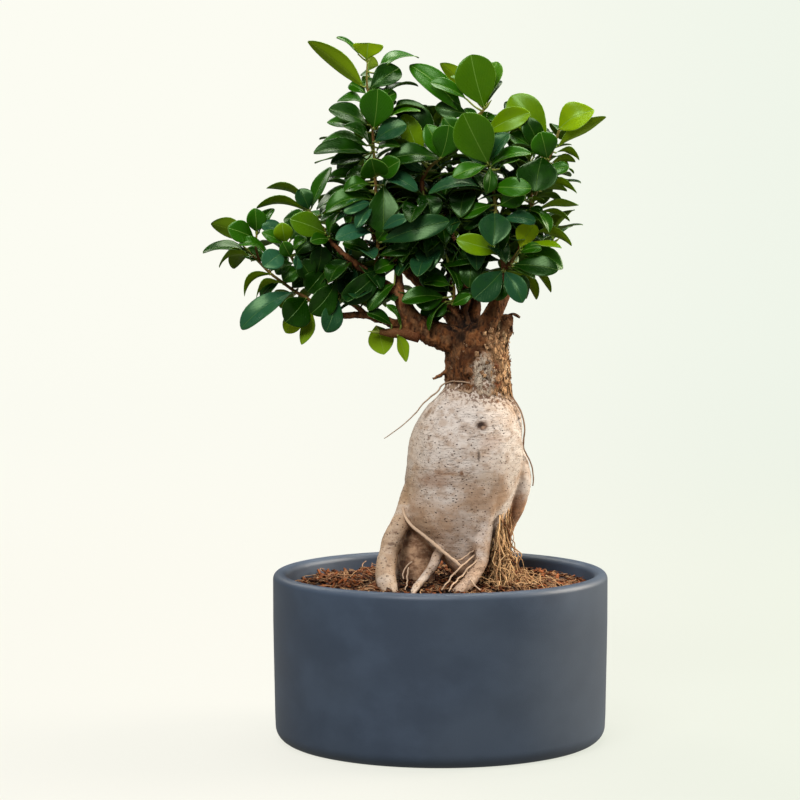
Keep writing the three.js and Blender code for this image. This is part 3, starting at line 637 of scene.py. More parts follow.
# %% Welding
def level_rings(rows, flatness, sides):
    """A body of level rings through rows of [height, centre, radius, depth]."""
    turns = round_turns(sides)
    rings = []
    for height, centre, radius, depth in smooth_rows(rows, 4):
        across = centre + radius * np.cos(turns)
        forth = depth + radius * flatness * np.sin(turns)
        rings.append(np.column_stack([across, forth, np.full(sides, height)]))
    return np.vstack(rings), rings_to_faces(len(rings), sides)


def welded(name, parts, voxel, rounding, finish):
    """One skin round all the parts, rounded a little where they meet."""
    rough = Shape()
    for part in parts:
        rough.add(part)
    lump = rough.make(name + "_parts", [finish])
    remesh = lump.modifiers.new("weld", "REMESH")
    remesh.mode = "VOXEL"
    remesh.voxel_size = voxel * mm
    smooth = lump.modifiers.new("round", "SMOOTH")
    smooth.factor = 0.5
    smooth.iterations = rounding
    skin = bpy.data.meshes.new_from_object(lump.evaluated_get(bpy.context.evaluated_depsgraph_get()))
    bpy.data.objects.remove(lump)
    skin.name = name
    skin.materials.clear()
    skin.materials.append(finish.material)
    thing = bpy.data.objects.new(name, skin)
    scene.collection.objects.link(thing)
    return thing


def push(thing, height):
    """Moves each point of the skin out along its normal by height(place, normal), in millimetres."""
    skin = thing.data
    normals = [vertex.normal.copy() for vertex in skin.vertices]
    relief = []
    for vertex, normal in zip(skin.vertices, normals):
        relief.append(height(vertex.co / mm, normal))
        vertex.co += normal * relief[-1] * mm
    marks = skin.attributes.new("tone", "FLOAT", "POINT")
    marks.data.foreach_set("value", relief)
    skin.shade_smooth()
    skin.update()


def surface_of(*things):
    """Trees for sighting points onto these things."""
    graph = bpy.context.evaluated_depsgraph_get()
    return [BVHTree.FromObject(thing, graph) for thing in things]


def sighted(trees, u, v, clearance=0):
    """The place in millimetres where the line of sight through (u, v) meets the nearest of the surfaces."""
    origin = camera.location
    ray = (Vector(seen(u, v, 0)) * mm - origin).normalized()
    hits = [tree.ray_cast(origin, ray) for tree in trees]
    place, normal, _, _ = min((hit for hit in hits if hit[0]), key=lambda hit: hit[3])
    return np.array(place + normal * clearance * mm) / mm


# %% Rootstock shape
def stock_relief(place, normal):
    swell = noise.noise(place / 26) * 0.9 + noise.noise(place / 11 + Vector((7, 0, 0))) * 0.5
    wrinkle = noise.noise(Vector((place.x / 9, place.y / 9, place.z / 1.6))) * 0.16
    return swell + wrinkle + noise.noise(place / 2.2) * 0.12


skin = Finish("rootstock_skin")
stock_parts = [level_rings(bulb_rows, flatness, 64)]
stock_parts += [seen_tube(rows, 18) for rows in root_rows.values()]
rootstock = welded("rootstock", stock_parts, 0.85, 7, skin)
push(rootstock, stock_relief)
print("points of the rootstock's skin:", len(rootstock.data.vertices))

# %% [markdown]
# ### Its skin
#
# The skin is thin pale bark: off-white with a grey-beige cast, stained tan in patches, cracked in fine
# level lines and peppered with small dark pores. The pores are cells of a Voronoi pattern of which only the
# middles are kept. The scars have places of their own: each is sighted onto the skin from the front, and a
# mask fades out round it.


# %% Skin patterns
def spot(finish, centre, size, edge, fray):
    """1 within the centre of an oval of this size, in millimetres, fading to 0 at its ragged edge."""
    place = place_on(finish)
    shake = finish.node("ShaderNodeTexNoise", {}, {"Vector": place, "Scale": 420, "Detail": 3}, "Color")
    shake = vector_math("SUBTRACT", shake, (0.5, 0.5, 0.5))
    place = vector_math("ADD", place, vector_math("MULTIPLY", shake, (fray * mm,) * 3))
    offset = vector_math("SUBTRACT", place, tuple(value * mm for value in centre))
    scaled = vector_math("MULTIPLY", offset, tuple(1 / (value * mm) for value in size))
    return step(length_of(scaled), 1, edge)


stock_surface = surface_of(rootstock)
stain = cloud(skin, 34, (1, 1, 1.5), 4, distortion=0.6)
mottle = cloud(skin, 170, (1, 1, 1.2), 4)
level_lines = cloud(skin, 110, (1, 1, 8), 3, distortion=0.4)
cracks = 1 - step(abs(level_lines - 0.5), 0.002, 0.014)
crack_zone = step(cloud(skin, 30, detail=2), 0.46, 0.62)
pore_shape = (360, (1, 1, 1.6))
freckle_shape = (620, (1, 1, 1.5))

skin_x = axis(place_on(skin), "X")
skin_height = axis(place_on(skin), "Z")
lower = 1 - step(skin_height, 0.12, 0.175)
pore_pick = step(cells(skin, *pore_shape, "Color") + lower * 0.14, 0.42, 0.56)
pores = (1 - step(cells(skin, *pore_shape), 0.12, 0.25)) * pore_pick
freckle_pick = step(cells(skin, *freckle_shape, "Color") + lower * 0.25, 0.44, 0.58)
freckles = (1 - step(cells(skin, *freckle_shape), 0.16, 0.34)) * freckle_pick
# Painted shade: the bulb's left side is darkened to a light brown.
shaded_left_side = 1 - step(skin_x, -0.022, 0.006)
skin_colour = coated(
    colour(216, 203, 191),
    (step(stain + lower * 0.1, 0.42, 0.72), colour(186, 156, 130)),
    (shaded_left_side * 0.4, colour(176, 146, 108)),
    (step(mottle, 0.46, 0.66) * 0.5, colour(158, 126, 98)),
    (cracks * (0.2 + crack_zone * 0.4), colour(116, 78, 50)),
    (freckles * 0.65, colour(98, 66, 42)),
    (pores * 0.9, colour(50, 28, 15)),
)

# %% Scars and painted shade
# Each: u, v, half its width, half its height, its share and its colour
scars_and_shade = [
    [22.8, 170, 1.6, 5, 0.75, (66, 48, 34)],
    [14, 174.5, 2.4, 1, 0.6, (96, 70, 48)],
    [12.5, 160, 2, 2.4, 0.85, (112, 70, 34)],
    [6, 159, 8, 1.3, 0.5, (150, 112, 74)],
    [17, 160, 3, 0.9, 0.6, (96, 70, 48)],
    [-7, 181, 2, 2.8, 0.6, (120, 92, 70)],
    [-11, 173, 2.4, 2.2, 0.4, (150, 124, 98)],
    [-4.5, 196, 1.6, 2.4, 0.6, (110, 84, 62)],
    [0, 194, 3.4, 3, 0.3, (150, 124, 100)],
    [34.2, 202.8, 1.8, 1.8, 0.7, (190, 120, 50)],
    [28, 157, 9, 6, 0.35, (170, 142, 112)],
    [-4, 155, 16, 7, 0.6, (150, 112, 84)],
    [2, 160, 10, 3, 0.45, (146, 106, 76)],
    # Painted shade: this one darkens the lower right of the bulb.
    [34, 148, 9, 18, 0.6, (150, 116, 84)],
    [22, 142, 14, 10, 0.35, (160, 128, 100)],
    [-20, 150, 5, 16, 0.5, (150, 118, 84)],
    [-7.5, 195.5, 4, 5, 0.5, (120, 88, 58)],
    [-14, 140, 10, 12, 0.4, (172, 136, 106)],
    [14, 128, 14, 9, 0.35, (164, 132, 104)],
    [30, 178, 10, 6, 0.35, (196, 158, 134)],
    [-27, 124, 2.6, 1.2, 0.7, (92, 62, 42)],
    [-29, 117, 3.2, 1.4, 0.7, (96, 66, 46)],
    [-24, 113, 2.4, 2.4, 0.7, (84, 56, 38)],
    [-31, 104, 2.6, 1.4, 0.6, (104, 74, 52)],
    [-18, 130, 1.2, 5, 0.6, (104, 72, 50)],
    [24.8, 188.2, 5.2, 4, 0.9, (92, 60, 36)],
    [24.2, 188.6, 3, 2.6, 0.95, (44, 26, 16)],
    [25.6, 187.4, 1.3, 1.2, 0.9, (176, 142, 116)],
]
for u, v, wide, high, strength, shade in scars_and_shade:
    patch = spot(skin, sighted(stock_surface, u, v), (wide, wide, high), 0.3, 3)
    skin_colour = mix(patch * strength, skin_colour, colour(*shade))
print("scars:", len(scars_and_shade))

# %% Brown parts and painted shade of the skin
# The inner lobe is browner. The undersides of the side lobe and bulb are darkened browner as painted shade.
inner_lobe = spot(skin, (-13, -5, 110), (16, 12, 24), 0.7, 4)
under_lobe_shade = spot(skin, seen(43, 134, 11), (14, 14, 24), 0.6, 4)
under_bulb_shade = spot(skin, (10, 0, 99), (36, 42, 20), 0.4, 6)
brown = mix(step(mottle, 0.35, 0.7), colour(132, 88, 56), colour(192, 142, 100))
tan = mix(step(mottle, 0.4, 0.62), colour(120, 80, 50), colour(204, 164, 128))
# Just under the bark's edge, which falls to the right by this slope, the skin is crusted.
bark_edge_slope = -0.22
graft_rim = step(skin_height - skin_x * bark_edge_slope, 0.2, 0.2135)
crust = step(cloud(skin, 520, detail=4) + graft_rim * 0.15, 0.6, 0.68)
skin_colour = coated(
    skin_colour,
    (inner_lobe * 0.85, tan),
    # Painted shade: the undersides of the side lobe and bulb darkened browner.
    (under_lobe_shade * 0.8, brown),
    (under_bulb_shade * 0.5, brown),
    (graft_rim * 0.35, colour(196, 168, 138)),
    (crust * graft_rim * 0.9, colour(98, 62, 35)),
    # Painted shade in the hollows of the skin, between the legs and lobes.
    (painted_hollow_shade(skin, 16) * 0.7, colour(74, 42, 20)),
)
skin.paint(
    base_color=skin_colour,
    roughness=0.74,
    normal=bump(mottle * 0.6 + level_lines * 0.25 - pores * 0.5 - cracks * crack_zone * 0.3, 0.6),
    specular=0.3,
)
keep(rootstock, ["rootstock"])

# %% [markdown]
# ## The trunk and limbs
#
# Above the graft the plant is a common small-leaved fig with rough brown bark. Its neck and limbs are
# welded the same way. The bark's plates come from ridged noise stretched up and down, strong on the neck
# and fading out along the limbs, whose young bark is smooth and reddish.

# %% Trunk rows
neck_rows = [
    [207, 21, 20.7, 2.5], [213, 22.3, 19.2, 2], [222, 22.2, 19.2, 2], [231, 21.8, 18.4, 2],
    [238, 21.8, 17, 2], [245, 22, 13.6, 2], [249, 22, 9, 2],
]
limb_rows = {
    "cut_stub": [
        [33, 226, 0, 5], [33.3, 236, 0, 5], [37.4, 243.5, 0, 5.2], [38.4, 249, 0, 5.2], [38, 254.5, 0, 4.7],
    ],
    "twig_stub": [[6, 221, -2, 1.4], [1, 218.6, -3, 1.2], [-5, 215.8, -4, 1.2]],
    "knot": [
        [17.3, 220.7, -10, 4.2], [17.3, 220.7, -15, 4.2], [17.3, 220.6, -17.6, 3.2],
        [17.3, 220.5, -18.6, 1.6],
    ],
    "left_limb": [
        [18, 236, -1, 9.8], [8, 239.3, -2, 8.9], [-1, 242, -3, 8], [-9, 245.5, -4, 7.4],
        [-15.5, 250, -5, 6.5], [-20.5, 257.5, -6, 5.1], [-24, 264.5, -6, 4.2], [-30, 270, -6, 3.5],
        [-40, 277, -6, 2.8], [-50, 284.5, -7, 2.3], [-57, 290, -8, 1.9], [-64.5, 297.5, -9, 1.5],
    ],
    "lower_limb": [
        [-8, 243, -5, 5], [-16, 245, -7, 4.2], [-23, 247.5, -8, 3.5], [-30, 250, -9, 2.9],
        [-38, 252.3, -9, 2.5], [-46, 254.3, -8, 2.2], [-54, 254, -7, 2], [-62, 254, -6, 1.6],
    ],
    "upright_stub": [[-24, 264, -5, 3.2], [-24.5, 276, -3, 2.4], [-26.5, 286, -2, 1.9]],
    "centre_limb": [
        [14, 240, 3, 7], [8, 252, 5, 4.4], [3, 261, 6, 3.6], [-3, 270, 6, 3.1], [-5, 280, 5, 2.7],
        [-6.5, 292, 3, 2.4], [-8, 306, 0, 2.2], [-10, 322, -3, 1.9], [-11, 334, -5, 1.6],
    ],
    "inner_limb": [
        [20, 241, 4, 7], [20, 254, 5, 4.2], [21, 264, 6, 3.2], [20.5, 275, 6, 2.5], [21, 289, 5, 2.2],
        [20, 303, 4, 2], [18.5, 319, 3, 1.8], [20, 336, 2, 1.6], [22, 352, 1, 1.3],
    ],
    "right_limb": [
        [24, 232, -3, 8.5], [26, 243, -4, 6.6], [29, 251, -5, 5.7], [33.3, 260, -6, 5.1],
        [36, 270, -7, 4.2], [38, 279, -8, 3.4],
    ],
    "low_twig": [[14, 246, 1, 2.6], [8, 257, 0, 2], [0, 264, -2, 1.5], [-6, 268, -3, 1.2]],
    "middle_twig": [[12, 248, 3, 2.4], [9, 262, 4, 1.7], [6, 272, 4, 1.4], [4, 284, 3, 1.2]],
    "front_twig": [[17, 246, -1, 2.2], [15, 258, -2, 1.6], [12, 268, -2, 1.2]],
    "back_left_limb": [
        [16, 238, 8, 7], [6, 255, 20, 5], [-8, 270, 32, 4], [-24, 284, 42, 3.2], [-40, 296, 48, 2.4],
    ],
    "back_limb": [
        [20, 240, 9, 7], [17, 256, 22, 4.8], [12, 276, 34, 3.8], [6, 300, 42, 3], [2, 326, 46, 2.4],
    ],
    "back_right_limb": [
        [26, 238, 8, 7], [32, 254, 20, 5], [40, 272, 32, 4], [47, 292, 40, 3], [52, 312, 44, 2.2],
    ],
}


# %% Neck
# The bark ends in a ragged line that hangs lower on the right, a little proud of the skin under it.
bark_edge_left = 212.5
bark_edge_ragged = 2.4
bark_over_skin = 0.2
neck_radius = 21
neck_shares = (0, 0.03, 0.08, 0.14, 0.2, 0.3, 0.4, 0.5, 0.6, 0.7, 0.8, 0.9, 1)


def neck_part(sides):
    """The bark round the neck, from its ragged edge up to the top of the neck."""
    rows = [row for row in bulb_rows if row[0] < neck_rows[0][0]] + neck_rows
    heights, centres, radii, depths = np.array(rows).T
    rings = []
    for share in neck_shares:
        ring = []
        for turn in round_turns(sides):
            x = neck_radius + neck_radius * math.cos(turn)
            ragged = bark_edge_ragged * noise.noise(Vector((x, neck_radius * math.sin(turn), 0)) / 4)
            edge = bark_edge_left + bark_edge_slope * x + ragged
            height = edge + (neck_rows[-1][0] - edge) * share
            centre = np.interp(height, heights, centres)
            radius = np.interp(height, heights, radii) + bark_over_skin
            depth = np.interp(height, heights, depths) + flatness * radius * math.sin(turn)
            ring.append((centre + radius * math.cos(turn), depth, height))
        rings.append(ring)
    return np.vstack(rings), rings_to_faces(len(rings), sides)


# %% Trunk shape
bark_rough_below = 240
bark_smooth_above = 268


def bark_relief(place, normal):
    rough = (bark_smooth_above - place.z) / (bark_smooth_above - bark_rough_below)
    rough = min(max(rough, 0.4), 1)
    plates = noise.noise(Vector((place.x / 3.4, place.y / 3.4, place.z / 4.4)))
    ridges = 1 - 2 * abs(noise.noise(Vector((place.x / 5, place.y / 5, place.z / 7))))
    grain = noise.noise(place / 1.4)
    return rough * (0.9 * plates + 0.6 * ridges - 0.35 + 0.6 * grain)


bark = Finish("bark")
trunk_parts = [neck_part(72)]
trunk_parts += [seen_tube(rows, 16) for rows in limb_rows.values()]
trunk = welded("trunk_and_limbs", trunk_parts, 0.75, 5, bark)
push(trunk, bark_relief)
print("points of the bark:", len(trunk.data.vertices))

# %% [markdown]
# ### Bark finish
#
# The relief worked out above is kept on each point, so the colour can follow it: deep places are dark
# brown, ridges a golden tan. A grey patch on the neck's front is where the bark is thin and old. The right
# side is lightened as painted highlight, and hollows are darkened as painted shade.

# %% Bark colours
bark_tone = carried(bark, "tone")
bark_grain = cloud(bark, 420, (1, 1, 0.6), 4)
bark_patch = cloud(bark, 90, (1, 1, 0.7))
bark_streak = cloud(bark, 330, (1, 1, 0.3), 4, distortion=0.5)
bark_height = axis(place_on(bark), "Z")
bark_x = axis(place_on(bark), "X")
young = step(bark_height, 0.25, 0.3)
flake_shape = (420, (1, 1, 0.6))
flake_gap = step(cells(bark, *flake_shape), 0.34, 0.62)
flake_pick = step(cells(bark, *flake_shape, "Color"), 0.15, 0.9)
# Painted highlight: the neck's right side is lightened to a golden tan. More flakes lift there, and their
# pale tops are painted highlight as well.
lit_right_side = step(bark_x, 0.025, 0.037) * (1 - step(bark_height, 0.236, 0.25))
flaking = 0.25 + lit_right_side * 0.75
young_bark = mix(step(bark_streak, 0.36, 0.66), colour(84, 40, 17), colour(170, 106, 62))
bark_colour = coated(
    colour(34, 16, 6),
    (step(bark_tone, -0.8, 1.1), colour(122, 72, 36)),
    (step(bark_streak, 0.48, 0.66) * 0.55, colour(160, 102, 56)),
    (step(bark_patch, 0.42, 0.66) * 0.5, colour(66, 33, 14)),
    (young * 0.7, young_bark),
    (lit_right_side * 0.5, colour(216, 168, 118)),
    (flake_pick * flaking * 0.35, colour(226, 182, 132)),
    (flake_gap * flaking * 0.65, colour(46, 22, 9)),
)

# %% Marks, painted shade and painted highlights on the bark
# Each: u, v, half its width, half its height, its share and its colour
bark_marks_shade_highlights = [
    # Painted shade: the first three darken the hollow where the limbs part, near black.
    [8, 247, 8, 7, 0.98, (12, 5, 2)],
    [17, 249, 10, 9, 0.98, (12, 5, 2)],
    [12, 240, 7, 6, 0.9, (22, 10, 4)],
    [17.3, 220.7, 5.4, 5, 0.6, (58, 29, 13)],
    # Painted highlight: the knot's light middle.
    [17.3, 221, 3, 2.8, 0.5, (170, 122, 86)],
    [13, 227, 5, 8, 0.6, (52, 26, 11)],
    [9, 214.5, 6, 4, 0.6, (62, 31, 14)],
    [20, 232, 8, 4, 0.6, (76, 40, 19)],
    [33.5, 222, 2.2, 6, 0.85, (92, 40, 18)],
    [34.5, 213.4, 4.2, 3, 0.75, (112, 54, 26)],
    [38.5, 230, 3, 3, 0.7, (110, 60, 30)],
    [41.4, 245.5, 1.4, 1.6, 0.85, (70, 32, 14)],
    # Painted highlights: the last three lighten the lit right edge of the neck and stub.
    [39.5, 220, 3.4, 8, 0.6, (246, 214, 172)],
    [34.6, 248, 1.4, 9, 0.7, (246, 210, 162)],
    [38, 241, 2.6, 5, 0.6, (240, 204, 154)],
]
trunk_surface = surface_of(trunk)
broken = 0.55 + step(bark_streak, 0.64, 0.44) * 0.45
for u, v, wide, high, strength, shade in bark_marks_shade_highlights:
    patch = spot(bark, sighted(trunk_surface, u, v), (wide, 1.4 * wide, high), 0.3, 3 + wide / 3)
    bark_colour = mix(patch * broken * strength, bark_colour, colour(*shade))
grey_patch = spot(bark, sighted(trunk_surface, 26, 217), (9, 9, 18), 0.45, 9)
worn_grey = coated(
    colour(150, 134, 116),
    (step(bark_streak, 0.35, 0.6), colour(206, 190, 168)),
    (1 - step(cloud(bark, 1100, (1, 1, 0.8)), 0.36, 0.46), colour(84, 56, 36)),
)
bark_edge = 1 - step(bark_height - bark_x * bark_edge_slope, bark_edge_left * mm, 0.217)
bark_colour = coated(
    bark_colour,
    (grey_patch * step(bark_grain, 0.3, 0.42) * 0.9, worn_grey),
    (bark_edge * step(bark_grain, 0.38, 0.47) * 0.7, colour(196, 168, 140)),
    ((1 - step(bark_grain, 0.32, 0.43)) * 0.8, colour(28, 13, 6)),
    # Painted shade in the hollows of the bark, where the limbs part.
    (painted_hollow_shade(bark, 11) * 0.85, colour(16, 7, 2)),
)
bark.paint(
    base_color=bark_colour,
    roughness=0.86,
    normal=bump(bark_grain + bark_streak * 0.6 + flaking * (flake_pick * 0.35 - flake_gap * 0.5), 1.5),
    specular=0.15,
)
keep(trunk, ["trunk_and_limbs"])

# %% [markdown]
# ### Loose bark
#
# At the neck the bark lifts in small curled plates whose edges catch the light. Each is a little sheet,
# stood on the surface and curled outwards, so the outline is ragged as on the real plant.


# %% Bark plates
def plate(root, out, up, width, height, curl):
    """A thin sheet that starts on the bark and curls away from it."""
    side = unit(np.cross(out, up))
    points = []
    for lift in (0, 0.45):
        for share in (0, 0.35, 0.7, 1):
            for across in (-1, 0, 1):
                ragged = 1 + 0.35 * chance.uniform(-1, 1) * share
                place = root + up * height * share * ragged + side * width / 2 * across * (1 - 0.3 * share)
                points.append(place + out * (curl * share**2 + lift * (1 - 0.6 * share) - 0.35))
    faces = []
    for row in range(3):
        for column in range(2):
            a = row * 3 + column
            faces.append([a, a + 1, a + 4, a + 3])
            faces.append([a + 12, a + 15, a + 16, a + 13])
    rim = [0, 1, 2, 5, 8, 11, 10, 9, 6, 3]
    for k, a in enumerate(rim):
        b = rim[(k + 1) % len(rim)]
        faces.append([a, a + 12, b + 12, b])
    return np.array(points), faces


plate_count = 190
plate_heights = (209, 246)
neck_axis = np.array([22.5, 2, 0])
well_outside = 60
# A dry sprig on top of the cut stub, through rows of [u, v, depth, radius]
sprig = [[40, 254, 0, 0.6], [43, 254.8, -1, 0.8], [45.4, 253.9, -1, 1], [47.4, 252.6, -1, 0.7]]
plates = Shape()
for _ in range(plate_count):
    heading = chance.gauss(-0.15, 0.5) if chance.random() < 0.7 else chance.uniform(-math.pi, math.pi)
    out = direction(heading)
    start = neck_axis + out * well_outside + [0, 0, chance.uniform(*plate_heights)]
    hit = trunk_surface[0].ray_cast(Vector(start) * mm, Vector(-out))[0]
    up = unit(np.array([chance.gauss(0, 0.4), chance.gauss(0, 0.4), chance.choice((-1, 1))]))
    up = unit(up - out * out.dot(up))
    size = chance.uniform(1.2, 3.6)
    height = size * chance.uniform(0.7, 1.3)
    sheet = plate(np.array(hit) / mm, out, up, size, height, chance.uniform(0.1, 1.2))
    # Painted highlight: plates that face right, towards the warm light, may be lighter; those facing left
    # stay dark.
    plates.add(sheet, tone=chance.uniform(0, 0.5 + 0.5 * math.cos(heading)))
plates.add(seen_tube(sprig, 6), tone=0)
flake = toned("bark_plate", colour(74, 38, 17), colour(226, 178, 128), colour(240, 204, 158), 0.8)
keep(plates.make("bark_plates", [flake]), [])

# %% [markdown]
# ## Thin roots
#
# Three wiry roots lie over the plant: one hangs from the graft to the left, one runs down the right side,
# one crosses the foot in front. Points on the wood are sighted onto its surface and lifted by the root's
# radius.

# %% Wiry roots
thin_roots = {
    "aerial_root_left": {
        "radius": 0.5,
        "ends": [0.9, 0.45],
        "tone": 0.45,
        "rows": [
            [18, 213.5], [13, 214.6], [8, 214.4], [4.5, 214], [0.5, 212, -2], [-1.5, 208.8, -3],
            [-6, 205, -4], [-10, 201.5, -5], [-14, 196.5, -6], [-20, 190.5, -7], [-29, 183.5, -8],
            [-33.5, 180.5, -8],
        ],
    },
    "aerial_root_right": {
        "radius": 0.5,
        "ends": [1, 0.8],
        "tone": 0.25,
        "rows": [
            [42.3, 213, 0], [42.8, 206, 0], [46, 200.5, -1], [49, 194, -1], [50.3, 187, 0], [49.8, 180, 2],
            [49.8, 175, 4], [51.5, 171, 8], [54.2, 165, 11], [55.6, 158, 12], [55.2, 152, 12],
        ],
    },
    "diagonal_root": {
        "radius": 1.05,
        "ends": [0.8, 0.9],
        "tone": 0.9,
        "rows": [
            [-22.3, 138.5], [-21.3, 134], [-17, 128, -20.5], [-9, 121.5, -24], [-3, 116.5, -26.5],
            [4, 110.5, -29], [9, 106.5, -31], [12, 104, -32],
        ],
    },
}

# A few finer ones over the soil at the foot, each through rows of [u, v, depth].
surface_roots = [
    [[21, 110, -26], [17, 107.5, -32], [12, 103.5, -37], [7, 98, -41], [4, 93.5, -46], [1, 89, -50]],
    [[22, 108, -28], [18.5, 104, -34], [14, 99, -39], [10.5, 95.5, -44], [7, 92.5, -50], [5, 88, -54]],
    [[20, 113, -22], [16, 110, -27], [11, 107.5, -30], [8, 106, -32]],
    [[-17, 106.5, -16], [-20, 104, -20], [-22, 100.5, -24], [-22.3, 96, -30]],
    [[-19, 103, -19], [-19.8, 98, -26], [-19.8, 94, -35], [-21.5, 89.5, -46]],
    [[16, 101, -33], [17, 97, -40], [20, 93, -46], [24, 89, -50]],
]

# A dark tube in the middle of the tangle at the right is painted shade that shows in the gaps between
# the strands, through rows of [u, v, depth, radius]
tangle_shade_core = [
    [39, 140, 1, 1.6], [38, 128, 1, 3.2], [37.5, 116, 0, 4.8], [37, 105, -2, 6], [38, 94, -5, 6.5],
]
wood_surface = surface_of(rootstock, trunk)


def wiry(rows, radius, ends, wander=0.25):
    """A root through rows of [u, v], lying on the wood, or [u, v, depth], hanging free."""
    places = [seen(*row) if len(row) == 3 else sighted(wood_surface, *row, radius * 0.7) for row in rows]
    shares = np.linspace(0, 1, len(places))
    sizes = radius * np.interp(shares, [0, 0.5, 1], [ends[0], 1, ends[1]])
    fine = smooth_rows(np.column_stack([places, sizes]), 6)
    for row in fine:
        row[:3] += wander * np.array(noise.noise_vector(Vector(row[:3]) / 4))
        row[3] *= 1 + 0.16 * noise.noise(Vector(row[:3]) / 2.5)
    return tube(fine, 10)


root_bark = toned("root_bark", colour(104, 70, 44), colour(212, 182, 152), colour(224, 200, 172), 0.75)
for name, root in thin_roots.items():
    shape = Shape()
    shape.add(wiry(root["rows"], root["radius"], root["ends"]), tone=root["tone"])
    keep(shape.make(name, [root_bark]), [name])

# %% [markdown]
# ## The fine roots
#
# Between the bulb and the soil at the right hangs a tangle of fine golden roots, and a few more run over
# the soil. Each is a thin tube that sags from a start high in the tangle to an end on the mix, with a
# wander of its own. There are many, because a few would look like wires.


# %% Root tangle
surface_root_radius = 0.5
stray_count = 90


def strand_between(start, end, sag, wander, radius):
    """A fine root from start to end in millimetres, pushed off the straight line by a smooth wander."""
    seed = chance.uniform(0, 100)
    rows = []
    for share in np.linspace(0, 1, 9):
        swing = math.sin(math.pi * share)
        drift = np.array(noise.noise_vector(Vector((share * 3.2, seed, 0)))) * wander * swing
        place = start + (end - start) * share + drift + [0, 0, -sag * swing]
        rows.append([*place, radius * (1 - 0.45 * share)])
    return tube(smooth_rows(rows, 2), 5)


def on_mix(x, y):
    return np.array([x, y, mix_height(x, y) + 0.3])


# How many strands a sheaf has, where its highest and lowest ones start, as (u, v, depth), how widely the
# starts scatter aside and in depth, where the middle one meets the mix, as (x, y), and how widely the feet
# scatter
sheaves = [
    [120, (38.8, 142, -4), (35.5, 108, -4), (2.4, 4), (36.5, -8), (8.5, 12)],
    [70, (36.5, 136, -15), (32, 110, -18), (1.6, 1.4), (35, -24), (8, 7)],
]
tangle = Shape()
# The painted shade at the tangle's middle, in the dark ground finish.
tangle.add(seen_tube(tangle_shade_core, 20), 1)
for count, high, low, scatter, foot, foot_scatter in sheaves:
    for _ in range(count):
        low_share = chance.uniform(0, 1)
        u, v, depth = np.array(high) + (np.array(low) - np.array(high)) * low_share
        aside, forth = np.array(scatter) * (0.5 + low_share)
        start = seen(chance.gauss(u, aside), v, chance.gauss(depth, forth))
        spread = chance.uniform(0.3, 1)
        foot_x = foot[0] + chance.gauss(0, foot_scatter[0]) * spread
        end = on_mix(foot_x, foot[1] + chance.gauss(0, foot_scatter[1]) * spread)
        sag = chance.uniform(-2, 3)
        strand = strand_between(start, end, sag, chance.uniform(5, 13), chance.uniform(0.2, 0.5))
        tangle.add(strand, tone=chance.random())
for _ in range(stray_count):
    start = on_mix(chance.uniform(22, 56), chance.uniform(-40, 10)) + [0, 0, chance.uniform(0, 5)]
    turn = chance.uniform(0, 2 * math.pi)
    reach = chance.uniform(8, 22)
    end = on_mix(start[0] + reach * math.cos(turn), start[1] + reach * math.sin(turn))
    sag = -chance.uniform(0, 4)
    strand = strand_between(start, end, sag, chance.uniform(3, 9), chance.uniform(0.16, 0.4))
    tangle.add(strand, tone=chance.uniform(0, 0.9))
for rows in surface_roots:
    tangle.add(wiry(rows, surface_root_radius, (1, 0.6), 0.9), 2, tone=0.8)
# The last number is how wide a hollow in the tangle is that gets painted shade.
golden = toned("golden_root", colour(112, 62, 28), colour(240, 194, 136), colour(250, 224, 180), 0.7, 7)
keep(tangle.make("fine_roots", [golden, mould, root_bark]), ["fine_roots"])

# %% [markdown]
# ## A leaf
#
# A leaf of this fig is a blunt oval, widest past its middle, leathery and glossy, folded a little along its
# midrib. Its thin pale edge is a painted highlight. Its blade is a grid: so many steps along and so many
# across. The upper and under sheets meet at the edge, a third of a millimetre apart, so the leaf has a true
# edge that takes light. Each point's marks are its distance from the midrib, its share along the blade and
# its distance from the edge.

# %% Leaf grid
along_shares = np.array([0, 0.05, 0.13, 0.22, 0.32, 0.43, 0.54, 0.65, 0.75, 0.84, 0.91, 0.955, 0.985, 1])
across_shares = np.array([-1, -0.92, -0.62, -0.3, 0, 0.3, 0.62, 0.92, 1])
blade_thickness = 0.32
rim_droop = 2.5
grid_along, grid_across = np.meshgrid(along_shares, across_shares, indexing="ij")


def outline(fullness):
    """Half widths along a blade: widest well past its middle at fullness 1.7, at its middle below 1."""
    widest = 0.36 + 0.15 * fullness
    before = np.sin(math.pi / 2 * np.clip(grid_along / widest, 0, 1)) ** (0.35 + 0.45 * fullness)
    past = np.clip((grid_along - widest) / (1 - widest), 0, 1)
    widths = before * (1 - past ** (1.2 + 0.6 * fullness)) ** (1.02 - 0.25 * fullness)
    widths[0] = 0.07
    widths[-1] = 0.05
    return widths


def leaf_faces():
    """Faces of the upper sheet, the under sheet and the edge that joins them."""
    rows, columns = grid_along.shape
    under = rows * columns
    faces = []
    for i in range(rows - 1):
        for j in range(columns - 1):
            a = i * columns + j
            faces.append([a, a + columns, a + columns + 1, a + 1])
            b = a + under
            faces.append([b, b + 1, b + columns + 1, b + columns])
    left = [i * columns for i in range(rows)]
    right = [i * columns + columns - 1 for i in range(rows)]
    first = list(range(columns))
    last = [(rows - 1) * columns + j for j in range(columns)]
    loop = left + last[1:] + right[-2::-1] + first[-2:0:-1]
    for k, a in enumerate(loop):
        b = loop[(k + 1) % len(loop)]
        faces.append([a, a + under, b + under, b])
    return faces


blade_faces = leaf_faces()
upper_count = 2 * (len(along_shares) - 1) * (len(across_shares) - 1)
blade_finishes = [0, 1] * (upper_count // 2) + [0] * (len(blade_faces) - upper_count)
print("faces in a blade:", len(blade_faces))


